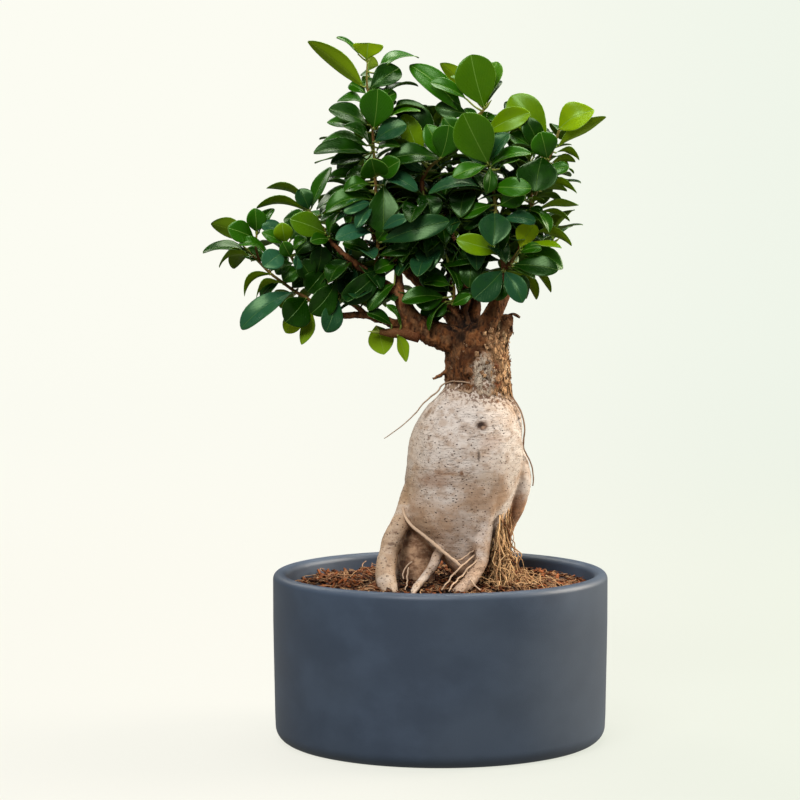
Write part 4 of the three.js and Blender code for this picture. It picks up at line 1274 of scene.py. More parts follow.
def blade(base, tip, face, width, arch, fullness):
    """Points and marks of a blade from base to tip, its upper side towards face."""
    spine = tip - base
    length = np.linalg.norm(spine)
    across = unit(np.cross(face, spine))
    half = width / 2 * outline(fullness)
    fold = chance.uniform(0.2, 0.5)
    ripple = chance.uniform(0.1, 0.6)
    phase = chance.uniform(0, 6)
    bend = chance.uniform(-0.035, 0.035) * length
    lift = 4 * arch * length * grid_along * (1 - grid_along)
    lift = lift + fold * np.abs(grid_across) ** 1.3 * half * (1 - 0.4 * grid_along)
    lift = lift - rim_droop * np.clip(np.abs(grid_across) - 0.9, 0, 1)
    lift = lift + ripple * np.sin(9 * grid_along + phase + grid_across) * grid_across**2
    sideways = half * grid_across * math.sqrt(1 - fold * fold) + bend * np.sin(math.pi * grid_along)
    middle = base + grid_along[..., None] * spine
    points = middle + sideways[..., None] * across + lift[..., None] * face
    upper = points.reshape(-1, 3)
    from_edge = half * (1 - np.abs(grid_across))
    marks = np.stack([half * grid_across, grid_along, from_edge], axis=-1).reshape(-1, 3)
    return np.vstack([upper, upper - blade_thickness * face]), np.vstack([marks, marks])


# %% [markdown]
# ## Leaf finishes
#
# The upper side is a deep green that turns yellower with "tone": partly as the leaf is younger, and partly
# as a painted glow where light shines through it from behind. Below 0 the tone gives a painted blue-green
# sheen, the reflection of the cool light. A thin pale midrib, faint side veins and a thin painted highlight
# along the edge are drawn from the marks. The gloss is a waxy sheen rather than a mirror. The under side is
# paler and matt.

# %% Leaf upper and under sides
leaf_gloss_tint = (0.62, 1, 0.45, 1)


def leaf_finish(name, painted_sheen, old, ripe, young_and_backlit, vein, rough, vein_share, shine):
    """The colour runs with the leaf's tone from a painted blue-green sheen over old and ripe to a bright end
    that is partly painted glow.
    """
    finish = Finish(name)
    marks = carried(finish, "marks", "Vector")
    tone = carried(finish, "tone")
    from_rib = abs(axis(marks, "X"))
    from_edge = axis(marks, "Z")
    rib = 1 - step(from_rib, 0.06, 0.3)
    # Painted highlight: a thin pale line along the leaf's edge.
    edge = 1 - step(from_edge, 0.02, 0.25)
    wave = finish.node("ShaderNodeMath", {"operation": "SINE"}, {0: axis(marks, "Y") * 55 - from_rib * 3.6})
    veins = step(wave, 0.8, 1) * step(from_edge, 0.3, 1.5)
    blotch = cloud(finish, 130)
    # Painted reflection: below tone 0 the blue-green sheen of the cool light; the bright end is partly
    # painted glow from behind.
    base = coated(
        painted_sheen,
        (step(tone, -0.5, 0.05), old),
        (step(tone, 0, 0.5), ripe),
        (step(tone, 0.5, 1), young_and_backlit),
        (step(blotch, 0.42, 0.7) * 0.2, ripe),
    )
    pale = mix(step(tone, -0.1, 0.75) * 0.75 + 0.2, base, vein)
    faint = vein_share * 0.07
    finish.paint(
        base_color=mix(edge * 0.65, mix(rib * vein_share, mix(veins * faint, base, pale), pale), pale),
        roughness=rough + blotch * 0.1,
        normal=bump(blotch * 0.5 - rib * 0.5 - veins * 0.06, 0.25),
        specular=shine,
        specular_tint=leaf_gloss_tint,
    )
    return finish


leaf_top = leaf_finish(
    "leaf_upper",
    painted_sheen=colour(42, 88, 60),
    old=colour(8, 38, 1),
    ripe=colour(36, 86, 1),
    young_and_backlit=colour(134, 164, 1),
    vein=colour(132, 170, 72),
    rough=0.23,
    vein_share=0.75,
    shine=0.3,
)
leaf_back = leaf_finish(
    "leaf_under",
    painted_sheen=colour(76, 106, 56),
    old=colour(68, 92, 14),
    ripe=colour(106, 134, 12),
    young_and_backlit=colour(158, 184, 20),
    vein=colour(134, 156, 60),
    rough=0.6,
    vein_share=0.6,
    shine=0.1,
)
stalk = toned("leaf_stalk", colour(92, 104, 44), colour(150, 164, 70), colour(160, 120, 70), 0.45)
twig = toned("twig", colour(98, 54, 28), colour(118, 126, 50), colour(156, 112, 70), 0.7)

# %% [markdown]
# ## Where the leaves stand
#
# The leaves that show at the front are each read from the picture: where the blade starts and ends, how
# deep it lies, and how far its upper side turns from the eye to the sky. The rest of the crown follows the
# plant's own rule: each next leaf a golden angle further round its stem.

# %% Reading leaves
golden_angle = 137.5
stalk_pull = 0.45
leaf_arch = 0.13
# A blade is read a little narrow, because its folded sides turn away from the eye.
true_width = 1.08
# A leaf turned further than this from the eye looks blunter, and is given a plainer outline.
steep_turn = 50


def facing(spine, turn):
    """Across this spine, a direction towards the eye at turn 0 and towards the sky at turn 90."""
    along = unit(spine)
    to_eye = np.array([0.0, -1.0, 0.0])
    to_eye = unit(to_eye - along * along.dot(to_eye))
    to_sky = np.cross(along, to_eye)
    steep = abs(to_sky[2]) < 0.25
    if (to_sky[0] if steep else to_sky[2]) < 0:
        to_sky = -to_sky
    angle = math.radians(turn)
    return to_eye * math.cos(angle) + to_sky * math.sin(angle)


def nearest_on_stem(stem, target):
    """The place on the stem nearest to target."""
    best = stem[0]
    for a, b in zip(stem[:-1], stem[1:]):
        share = min(max((target - a).dot(b - a) / (b - a).dot(b - a), 0), 1)
        near = a + (b - a) * share
        if np.linalg.norm(near - target) < np.linalg.norm(best - target):
            best = near
    return best


def read_leaf(stem, row):
    u0, v0, u1, v1, depth, reach, turn, width, tone, *rest = row
    usual = chance.uniform(1.4, 1.75) if turn < steep_turn else chance.uniform(1.2, 1.5)
    arch = rest[0] if rest else leaf_arch
    fullness = rest[1] if len(rest) > 1 else usual
    base = seen(u0, v0, depth)
    tip = seen(u1, v1, depth + reach)
    root = nearest_on_stem(stem, base)
    face = facing(tip - base, turn)
    base = base + (root - base) * stalk_pull
    return root, base, tip, face, width * true_width, arch, tone, fullness


def on_stem(stem, place):
    """The point at this place, counted in the stem's rows."""
    k = min(int(place), len(stem) - 2)
    return stem[k] + (stem[k + 1] - stem[k]) * (place - k)


def skyward(out):
    """The upper side of a leaf that points out."""
    return unit(np.array([0, 0, 1]) - out * out[2])


def ruled_leaf(stem, i, count, start, sweep, phase):
    """One of a ring of leaves, each a golden angle further round the stem."""
    share = (i + 1) / count
    heading = math.radians(start + sweep * ((i * golden_angle + phase) % 360) / 360)
    climb = math.radians(12 + 30 * share + 14 * math.sin(5 * i + phase))
    length = 27 + 4 * math.sin(3 * i + phase)
    root = on_stem(stem, (0.15 + 0.8 * share) * (len(stem) - 1))
    out = direction(heading, climb)
    base = root + 6 * out
    tone = chance.uniform(-0.3, 0.35)
    return root, base, base + length * out, skyward(out), 16, 0.18, tone, chance.uniform(1.25, 1.7)


def filler_leaf(stem, i, count, start, sweep, climbs):
    """A leaf deep in the crown that fills the dark between the leaves in front of it."""
    root = on_stem(stem, (i + 0.5) / count * (len(stem) - 1))
    heading = math.radians(start + sweep * (i * golden_angle % 360) / 360 + chance.uniform(-8, 8))
    out = direction(heading, math.radians(chance.uniform(*climbs)))
    base = root + chance.uniform(4, 7) * out
    tip = base + chance.uniform(21, 29) * out
    width = chance.uniform(13, 17)
    return root, base, tip, skyward(out), width, 0.2, chance.uniform(-0.2, 0.2), chance.uniform(1.2, 1.7)


# %% Shoots as read
# Each shoot: its stem's rows of [u, v, depth, radius], its leaves' rows of [base u, v, tip u, v, depth,
# reach of the tip behind the base, turn, width, tone, arch, fullness], of which the last two may be left
# out, and a ring of ruled leaves: count, start, sweep and phase. The tone says how bright a leaf is: 0 is
# old and dark; towards 1 it is brighter, partly as young growth and partly as a painted glow of light from
# behind; below 0 it is a painted blue-green sheen, the reflection of the cool light.
shoots = {
    "leader_low": {
        "stem": [
            [-39, 278, -8, 1.5], [-37.5, 290, -9, 1.4], [-37, 300, -10, 1.4], [-37.5, 312, -11, 1.3],
            [-38, 322, -12, 1.3],
        ],
        "leaves": [
            [-42, 302.5, -62, 299, -20, -8, 40, 11, -0.5, 0.12],
            [-38, 298, -32, 305.5, -17, -3, 10, 8, 0.5], [-33, 304, -18.5, 312.5, -28, -4, 20, 7, -0.3],
            [-34, 296.5, 5.5, 310, -24, -4, 15, 14, -0.12], [-36, 289, -13, 294, -14, 2, 30, 10, 0.1],
            [-43, 291, -58, 297, -10, 0, 30, 10, 0.3], [-43, 320, -57, 315, -24, -4, 30, 9, -0.3],
            [-42, 318, -50, 306, -24, -4, 10, 8, -0.3],
        ],
    },
    "leader_mid": {
        "stem": [[-38, 322, -12, 1.3], [-38.5, 336, -12, 1.2], [-39.5, 352, -11, 1.1]],
        "leaves": [
            [-38.5, 337, -41, 347, -22, -14, 0, 17, 0.45], [-35, 337.5, -24, 345.5, -20, -8, 20, 13, 0.3],
            [-44, 336, -57, 334.5, -6, 0, 55, 13, 0.35, 0.2],
            [-43, 331, -57, 327.5, -16, -4, 45, 12, 0.3, 0.22],
            [-43, 327, -54.5, 325, -10, 0, 40, 9, 0.3, 0.15],
            [-43, 322.5, -68, 315, -18, -4, 45, 15, 0.3, 0.18],
            [-50, 333, -72, 329, 3, 2, 60, 12, 0.3, 0.22], [-50, 328, -73.5, 317, -1, 0, 60, 12, 0.3, 0.16],
            [-34, 337.5, -13.5, 328, -20, -4, 45, 12, -0.3],
            [-30, 331.5, -34, 303, -16, -6, 0, 19, 0.1, 0.05], [-45, 349, -61, 339, 8, 4, 20, 12, 0.1],
        ],
    },
    "leader_upper": {
        "stem": [[-39.5, 352, -11, 1.1], [-40, 362, -11, 1], [-41, 372, -11, 1], [-42, 380, -11, 0.9]],
        "leaves": [
            [-38.8, 365, -37, 388, -22, -3, 0, 21.5, 0.5, 0.05], [-48, 379, -61, 380.5, -8, 0, 65, 14, 0.4],
            [-45, 366.5, -66, 376, -15, -4, 45, 15, 0.1], [-47, 362, -67, 368.5, -8, 4, 45, 12, 0.35],
            [-43, 355, -57, 366, -22, -6, 60, 12, 0.1], [-38, 357, -20, 366.8, -20, -2, 30, 14, -0.2],
            [-36.5, 364.5, -12, 375.5, -13, -8, 78, 13, 0.55, 0.14],
            [-46, 354.5, -70, 356.5, -5, 0, 50, 13, 0.3], [-44, 348, -75, 350.5, -19, -2, 55, 17, 0.1, 0.1],
            [-50, 345.5, -74.5, 344.5, 5, 4, 85, 11, 0.3, 0.04],
            [-46, 342, -65, 344, -15, -2, 45, 12, 0.1, 0.14],
            [-36.5, 349, -24, 354, -17, -5, 65, 10, 0.2, 0.25], [-33, 357, -20, 355, -6, 0, 50, 9, 0.3],
        ],
        "ring": [1, 55, 70, 150],
    },
    "leader_tip": {
        "stem": [[-42, 380, -11, 0.9], [-43.5, 393, -11, 0.8], [-43, 404, -11, 0.7]],
        "leaves": [
            [-47.5, 389, -78, 416, -9, 4, 130, 15.5, 0.6, 0.07, 1.1],
            [-52, 411, -61, 418.5, -11, -3, 60, 5.5, 0.3],
            [-44.2, 404, -42.6, 415, -12, -4, 8, 17.5, 0.9, 0.03, 3.4],
            [-41, 388, -24, 400, -7, 6, 20, 15, 0.1], [-31, 397, -12.8, 406.2, 4, 8, 60, 14, 0.45, 0.22],
            [-45, 385, -53.5, 391, -6, 4, 20, 10, 0.4], [-36, 379, -26, 385.5, -8, 2, 10, 9, 0.4],
            [-41, 395, -37, 402, -4, 24, 85, 13, 0.4],
        ],
        "green": 1,
    },
    "upper_left": {
        "stem": [[-64.5, 297.5, -9, 1.4], [-68, 302, -10, 1.2], [-72, 309, -10, 1.1], [-78, 316, -9, 0.9]],
        "leaves": [
            [-68, 303, -89, 311, -24, -6, 10, 14, 0.65], [-66, 298, -77, 298, -22, -6, 30, 8, 0.3],
            [-69, 301.5, -81, 304.5, -14, 0, 45, 9, 0.3], [-64.5, 301, -60.5, 314.5, -18, -2, 60, 9, 0.3],
            [-77.5, 317, -83.5, 329, -10, 0, 10, 11, -0.1],
            [-80, 321, -103, 329.5, -3, -4, 112, 13, 0.45, 0.2],
            [-82, 316.5, -109, 318, -8, -4, 114, 13, 0.45, 0.18],
            [-75.5, 318.5, -65, 342, -5, 0, 50, 12, 0.3, 0.04], [-79, 307, -93, 311, 4, 0, 30, 11, 0.3],
            [-69, 304, -58, 300, -8, 0, 40, 11, 0.1], [-67, 306, -62, 296, 2, 2, 10, 12, 0.1],
        ],
    },
    "far_left": {
        "stem": [
            [-62, 254, -6, 1.6], [-71, 258, -8, 1.5], [-79, 264, -9, 1.4], [-86, 268, -9, 1.3],
            [-93, 273, -10, 1.2], [-101, 279, -10, 1.1], [-107, 285, -10, 1], [-113, 291, -10, 0.9],
        ],
        "leaves": [
            [-115, 291.8, -141, 291.5, -10, -4, 66, 13, 0.1, 0.14],
            [-113, 288.5, -131.5, 283, -14, -4, 112, 12, 0.3, 0.22],
            [-98, 291, -119.5, 296.5, -18, -4, 62, 12, 0.4, 0.2],
            [-100, 288, -117, 292, -6, 2, 35, 10, 0.4],
            [-101, 278.5, -116.5, 265.5, -13, -4, 112, 12, 0.5, 0.22],
            [-93, 272.5, -109.5, 264.5, -12, -2, 108, 11, 0.5, 0.25],
            [-87, 267.5, -118.5, 246, -15, -8, 35, 15, -0.35, 0.17],
            [-80, 264, -92, 250, -17, -4, -18, 20, 0.1], [-83, 257, -92, 243.5, -8, -4, 170, 12, 0.65],
            [-79, 257, -82.5, 236.5, -14, -4, 155, 9.5, 0.3], [-96, 274, -107, 264, -4, 2, 40, 10, 0.2],
            [-100, 281, -91, 290, -6, 2, 20, 11, 0.1], [-88, 271, -78, 278, -6, 2, 20, 12, 0.1],
        ],
    },
    "far_left_upright": {
        "stem": [[-107, 285, -10, 1], [-109.5, 294, -10, 0.9], [-109, 302, -9, 0.8]],
        "leaves": [
            [-118, 297.5, -136, 308.5, -6, 4, 150, 13, 0.2], [-112, 300.5, -126, 306, -16, -6, 20, 13, 0.5],
            [-109.5, 305, -110, 317.5, -10, -3, 15, 12, 0.4], [-106.5, 304, -99, 317.5, -5, 0, 40, 9, 0.4],
        ],
    },
    "left_middle": {
        "stem": [
            [-44, 254, -8, 2.2], [-50, 259.5, -8, 2.1], [-57, 264, -7, 1.9], [-68, 271, -8, 1.6],
            [-79, 279, -10, 1.4], [-87, 286, -12, 1.2], [-91, 296, -13, 1],
        ],
        "leaves": [
            [-96, 290, -105, 283, -26, -6, 10, 13, -0.4], [-89, 288, -93.5, 297.5, -26, -3, 5, 9, 0.5],
            [-87, 292, -79.5, 299.5, -22, -3, 55, 9, 0.4], [-93, 298.5, -94, 309, -20, -3, 0, 11, 0.75],
            [-92, 308, -106, 307, -11, -2, 40, 10, -0.3], [-95, 296, -106, 303, -17, -3, 45, 9, 0.4],
            [-84, 291, -86, 281.5, -24, -2, 40, 7, -0.3], [-87, 301, -83, 312, -5, 0, 10, 13, 0.1],
            [-58, 280, -77, 255, -22, -4, -20, 16, 0.1], [-60, 267, -72, 256, -14, -2, -12, 13, 0.1],
            [-61, 262, -68, 244, -22, -4, -16, 13, -0.2], [-66, 284, -79, 268, -10, -2, -14, 15, 0.1],
            [-76, 273.6, -83.5, 286.5, -13, -2, 15, 13, 0.1],
            [-72.5, 279.5, -70.5, 295, -11, -2, 20, 13, 0], [-65.5, 274.8, -56, 286, -11, -2, 20, 12, 0],
            [-82.5, 282, -93.5, 274.5, -14, -3, 20, 11, 0.2], [-88, 284.5, -98, 279, -13, -2, 30, 10, 0.1],
            [-70, 287.8, -82, 297.5, -5, 0, 10, 15, 0], [-84, 291, -72, 300, -8, 0, 20, 12, 0.1],
        ],
    },
    "under_limb": {
        "stem": [[-13, 241.5, -7, 5.2], [-22, 243.4, -10, 4.6], [-29, 243.6, -12, 3.8], [-36, 244, -13, 2]],
        "leaves": [
            [-40, 250.8, -33.5, 230.6, -9, -2, 178, 15, 0.55, 0.13, 0.95],
            [-25, 241.5, -20.3, 226.3, -16, -2, 150, 8, 0.55, 0.13, 0.9],
            [-28.5, 252, -43.5, 255.5, -16, -2, 40, 9.5, 0.1],
            [-22.5, 251.5, -32, 260.5, -17, -3, 55, 6, 0.3],
        ],
        "green": 0.1,
    },
    "inner_left": {
        "stem": [[-26.5, 286, -2, 1.8], [-29, 294, -1, 1.3], [-31, 304, 1, 1]],
        "leaves": [
            [-42, 278, -58.5, 262, -17, -4, -14, 15, 0], [-26, 283, -39, 280, -11, -3, 30, 10, 0.3],
            [-28, 262, -43, 257, -17, -2, 35, 9, 0.2], [-24, 258, -38, 264, 4, 2, 20, 12, 0.1],
        ],
        "ring": [2, 55, 70, 200],
    },
    "centre_node": {
        "stem": [[-11, 334, -5, 1.5], [-7, 341, -9, 1.3], [0, 347, -12, 1.1]],
        "leaves": [
            [0, 347.5, -8, 367, -15, 0, 10, 12, 0.4], [0.7, 347.5, 5, 366.5, -24, -4, 0, 16.5, 0.4, 0.05],
            [-1.5, 346, -33, 345, -17, -2, 40, 16, 0.1, 0.2],
            [-12, 338, -28, 338, -10, -4, 40, 11, 0.1, 0.22], [-12.5, 340, -22, 346, -12, -2, 20, 7, -0.2],
            [-15, 351, -22, 373, -9, -3, 10, 13, 0.75], [-17.5, 352, -27, 365, -4, 0, 30, 12, 0.3],
            [-5, 362, -25, 381, 1, -3, 15, 18, 0.05],
        ],
    },
    "inner_top": {
        "stem": [[22, 352, 1, 1.3], [22, 362, 0, 1.2], [22, 371, -1, 1.1], [26, 376, -2, 1]],
        "leaves": [
            [26, 378, 18, 408, -4, -2, 0, 24, 0.62, 0.05], [7.5, 388, -6, 391.5, -6, 0, 40, 11, 0.4],
            [28.5, 386, 33.5, 404, 5, 2, 25, 13, 0.6], [13, 391, 0, 403, 10, 4, 150, 11, 0.6],
            [16, 388, 6.5, 395.5, 3, 2, 60, 8, 0.5], [31, 361.5, 53, 374, -8, -3, 10, 14, 0.75],
            [11, 375, -3, 377.5, 2, 0, 10, 11, 0.1], [9, 353, 2, 371, -8, 0, 5, 13, 0.3],
            [6, 376, -18, 402, 2, 4, 25, 15, 0.5], [28, 361, 28, 374.5, 5, 2, 0, 14, 0.4],
            [17, 364, 15, 376.7, 3, 2, 0, 10, 0.4],
        ],
        "ring": [1, 55, 70, 100],
    },
    "right_leader_low": {
        "stem": [
            [38, 281, -8, 2.2], [36, 292, -10, 1.7], [34, 303, -11, 1.5], [33, 315, -12, 1.4],
            [32, 325, -13, 1.3],
        ],
        "leaves": [
            [31.5, 314, 31, 295.5, -28, -5, 0, 20, -0.14, 0.05, 0.85],
            [29, 319, 12, 312.5, -18, -3, 35, 10, 0.3], [27, 316, 14, 305.5, -13, -2, 20, 10, 0.05],
            [37, 319, 50, 327, -20, -2, 10, 12, 0.3], [36, 291, 9.5, 299, -16, -4, 10, 12.5, 0.75],
            [33, 287, 0, 284, -4, 0, 50, 14, 0.1, 0.12],
            [36.5, 279.5, 20, 264, -20, -4, 0, 16, -0.16, 0.06], [40, 274, 33, 263, -10, -2, 0, 10, 0.2],
            [38.5, 279, 49, 261.5, -20, -4, 5, 13, -0.25],
            [40, 311, 56.5, 309.5, -18, -2, 40, 10, -0.25, 0.14], [18, 262, 6, 260, 0, 0, 30, 8, 0.2],
        ],
    },
    "right_leader_top": {
        "stem": [[32, 325, -13, 1.3], [30, 335, -14, 1.2], [28.5, 343, -15, 1.1]],
        "leaves": [
            [28, 345, 13.5, 373.5, -28, -5, 0, 25, 0.6, 0.05], [30, 346, 41, 361.5, -18, -3, 45, 14, -0.2],
            [31, 342.5, 53.5, 350, -22, -4, 58, 12, 0.4], [32, 329.5, 54, 329, -26, -4, 20, 12, 0.5, 0.12],
            [27, 327, -7, 326, -22, -3, 60, 14, -0.2, 0.18], [26.5, 342.5, 7.5, 336, -26, -4, 35, 11, 0.5],
            [26, 343, 11.5, 347, -15, 0, 35, 10, -0.25], [30, 341, 28, 326.5, -24, -2, 20, 9, 0.2],
            [39.5, 341, 46.5, 346.5, -25, -3, 70, 7, 0.3],
        ],
    },
    "right_low": {
        "stem": [[39, 282, -8, 2], [43, 287, -8, 1.5], [47, 293, -8, 1.1]],
        "leaves": [
            [48, 295, 56, 308, -14, -3, 160, 14, 0.8], [48, 293, 72, 294, -16, -3, 76, 12, 0.75, 0.08],
            [48.5, 290.5, 60, 293.5, -21, -2, 40, 8, 0.3], [50, 290, 73, 282, -10, 0, 35, 14, 0.3, 0.15],
            [44, 283, 70, 281, -22, -3, 30, 13, 0.05, 0.1], [43, 281, 56.5, 276, -15, 0, 50, 9, 0.3],
            [47, 284, 66, 268, 3, 2, 116, 10, 0.3], [46, 281, 57.3, 263.5, 5, 3, 122, 10, 0.5],
            [44, 280, 51.5, 264, 2, 2, 40, 10, 0.1],
        ],
    },
    "right_stem_low": {
        "stem": [[47, 293, -8, 1.7], [50, 304, -7, 1.6], [54, 318, -6, 1.4], [58, 331, -6, 1.2]],
        "leaves": [
            [60, 302, 78, 295.5, -5, 0, 122, 10, 0.4, 0.15], [57, 305, 70, 303, 3, 2, 112, 8, 0.3],
            [60, 330.5, 81, 326.5, -10, -2, 114, 11, 0.4, 0.16], [62, 327, 75, 327.7, 6, 2, 105, 9, 0.3],
            [57, 324, 72.5, 321.8, -4, 0, 110, 10, 0.4, 0.15], [54, 321, 61.5, 322.5, -12, 0, 110, 9, 0.2],
            [60, 316, 82, 319.5, -8, -2, 112, 11, 0.4, 0.08],
            [60, 313.5, 76.8, 310, -1, 0, 106, 10, 0.4, 0.15], [58, 314, 65.5, 308, -14, 0, 20, 7, 0.3],
            [53, 317, 64.5, 303, -16, -3, 55, 10, 0.3, 0.2], [49, 317, 60.5, 313, -11, -1, 20, 9, 0.3],
            [59, 334, 66.5, 335, -4, 0, 40, 6, 0.4],
        ],
    },
    "right_stem_top": {
        "stem": [[58, 331, -6, 1.2], [63, 343, -6, 1.1], [67, 353, -6, 1], [71, 366, -6, 0.9]],
        "leaves": [
            [57, 349.5, 56.5, 327.5, -24, -6, -8, 25, 0.05, 0.05],
            [62.5, 347.5, 59.5, 362.5, -20, -3, 5, 15.5, 0.5],
            [70, 364.5, 91, 375.5, -8, -3, 25, 18, 0.85, 0.16, 0.9],
            [70.5, 353.5, 98, 371.5, -9, -2, 128, 13, 0.5, 0.02],
            [69.5, 349.8, 82.3, 346, -4, 0, 110, 10, 0.4, 0.2],
            [67, 343.5, 80, 345, 3, 2, 112, 10, 0.4, 0.12], [65, 341, 76, 342.5, 7, 3, 118, 9, 0.4],
            [61.5, 337.5, 76.3, 342, -10, -2, 40, 9, 0.4], [70, 340.5, 79, 338.5, 12, 3, 75, 7, 0.4],
            [55, 350, 41, 361, -5, 0, 30, 12, 0.3], [60, 357, 42, 384, -1, 2, 10, 21, 0.72, 0.06],
            [54.5, 352, 50, 371, -10, -2, 10, 12, 0.1], [46, 366, 38, 380, 5, 3, 10, 12, 0.1],
        ],
    },
    "inner_low": {
        "stem": [[8, 253, 4, 1.4], [8, 262, -2, 1.3], [8, 272, -4, 1.1], [5, 284, -5, 0.9]],
        "leaves": [
            [6, 259, 18, 266, -8, -2, 15, 7, 0.3], [-2, 264, -15, 262, -10, -2, 10, 13, 0.2],
            [6, 271, -10, 273, -8, -4, 60, 12, 0.3], [-3, 263.5, -23, 262.5, -12, -3, 35, 12, 0.2],
            [-1, 261, -7, 245, -12, -4, 70, 8, 0.2], [1, 260, -6, 254, -9, -2, 20, 10, 0.1],
            [4, 268, -12, 280, -4, 0, 20, 14, 0], [7, 272, 17, 284, -6, 0, 20, 13, 0],
            [2, 256, -12, 252, 0, 2, 20, 13, 0],
        ],
    },
    "middle_left": {
        "stem": [[-46, 281, -6, 1.8], [-56, 285, 10, 1.4], [-70, 290, 16, 1]],
        "ring": [10, 0, 360, 20],
    },
    "middle_left_low": {
        "stem": [[-38, 252.5, -8, 1.8], [-45, 264, 8, 1.4], [-54, 272, 14, 1]],
        "ring": [9, 0, 360, 120],
    },
    "middle_centre": {
        "stem": [[-4, 292, 9, 1.8], [1, 306, 13, 1.4], [4, 322, 15, 1]],
        "ring": [10, 0, 360, 260],
    },
    "middle_centre_left": {
        "stem": [[-9, 296, 6, 1.8], [-18, 308, 12, 1.4], [-24, 322, 14, 1]],
        "ring": [9, 0, 360, 310],
    },
    "middle_right": {
        "stem": [[24, 292, 9, 1.8], [32, 304, 14, 1.4], [38, 320, 16, 1]],
        "ring": [10, 0, 360, 60],
    },
    "middle_right_low": {
        "stem": [[34, 262, 2, 1.8], [42, 272, 12, 1.4], [50, 284, 16, 1]],
        "ring": [9, 40, 280, 190],
    },
    "back_left_low": {
        "stem": [[-40, 296, 48, 2.2], [-56, 300, 52, 1.4], [-70, 302, 54, 1]],
        "ring": [10, 0, 360, 30],
    },
    "back_left_high": {
        "stem": [[-38, 296, 46, 2], [-44, 318, 44, 1.4], [-46, 344, 40, 1]],
        "ring": [12, 0, 360, 75],
    },
    "back_centre_left": {
        "stem": [[-8, 270, 34, 2.4], [-20, 282, 58, 1.5], [-26, 296, 72, 1]],
        "ring": [12, 0, 360, 110],
    },
    "back_centre": {
        "stem": [[2, 326, 46, 2.2], [-4, 344, 44, 1.5], [-8, 362, 40, 1]],
        "ring": [10, 0, 360, 160],
    },
    "back_centre_low": {
        "stem": [[12, 276, 36, 2.2], [10, 284, 60, 1.5], [8, 296, 78, 1]],
        "ring": [12, 0, 360, 210],
    },
    "back_high": {
        "stem": [[4, 318, 46, 1.9], [16, 336, 56, 1.4], [20, 354, 56, 1]],
        "ring": [10, 0, 360, 250],
    },
    "back_right_low": {
        "stem": [[44, 284, 38, 2.2], [56, 288, 50, 1.4], [66, 296, 54, 1]],
        "ring": [10, 0, 360, 300],
    },
    "back_right_high": {
        "stem": [[52, 312, 44, 2], [54, 328, 42, 1.4], [52, 346, 38, 1]],
        "ring": [12, 0, 360, 340],
    },
}

# Leaves deep in the crown, on a shoot's own stem: how many, the first heading, the sweep of headings and
# the range of climbs, in degrees
fillers = {
    "leader_low": (11, -10, 140, (-30, 30)),
    "leader_mid": (11, -10, 130, (-30, 30)),
    "leader_upper": (8, -10, 120, (-30, 30)),
    "left_middle": (12, 10, 140, (-20, 30)),
    "upper_left": (3, 0, 90, (-20, 20)),
    "far_left": (6, 30, 100, (-20, 20)),
    "middle_centre": (8, 190, 160, (-50, 0)),
    "middle_centre_left": (10, 180, 180, (-50, 0)),
    "middle_right": (8, 190, 160, (-50, 0)),
    "middle_left": (7, 190, 160, (-50, 0)),
    "middle_left_low": (5, 190, 160, (-15, 15)),
    "back_centre": (6, 190, 160, (-50, 0)),
    "back_high": (6, 190, 160, (-50, 0)),
    "centre_node": (8, 0, 180, (-40, 20)),
    "inner_top": (8, 0, 180, (-60, 0)),
    "right_leader_low": (12, 10, 180, (-30, 30)),
    "right_leader_top": (10, 30, 160, (-30, 30)),
    "right_stem_low": (10, 80, 120, (-40, 20)),
    "right_stem_top": (9, 80, 120, (-40, 10)),
}
# The same on a limb of the trunk, from one of its rows on
limb_fillers = {
    "middle_centre": ("centre_limb", 4, (14, 190, 160, (-60, -5))),
    "middle_right": ("inner_limb", 4, (14, 190, 160, (-60, -5))),
}
print("shoots:", len(shoots), "read leaves:", sum(len(shoot.get("leaves", [])) for shoot in shoots.values()))

# %% [markdown]
# ## Growing the shoots
#
# Each shoot is one mesh of four finishes: upper sides, under sides, stalks and twig. A stalk runs from the
# twig to its blade with a slight sag, and each twig ends in the pointed sheath that folds round the next
# young leaf.


# %% Grow
twig_thinness = 0.78
stalk_sag = 0.06
usual_green = 0.55


def grow_leaf(shape, leaf):
    root, base, tip, face, width, arch, tone, fullness = leaf
    points, marks = blade(base, tip, face, width, arch, fullness)
    shape.add((points, blade_faces), blade_finishes, marks, tone)
    middle = (root + base) / 2 + np.array([0, 0, -stalk_sag]) * np.linalg.norm(base - root)
    inside = base + (tip - base) * 0.05 - face * 0.35
    rows = [[*root, 0.7], [*middle, 0.52], [*base, 0.52], [*inside, 0.3]]
    shape.add(tube(smooth_rows(rows, 3), 6), 2, tone=min(max(tone, 0) + 0.2, 1))


def grow_bud(shape, stem):
    """The sheath at the end of a twig."""
    tip = stem[-1][:3]
    out = unit(tip - stem[-2][:3])
    sizes = [(0, 0.75), (1.5, 1.0), (3.5, 0.85), (6, 0.35), (7.2, 0.1)]
    rows = [[*(tip + out * reach), radius] for reach, radius in sizes]
    shape.add(tube(smooth_rows(rows, 2), 7), 2, tone=0.6)


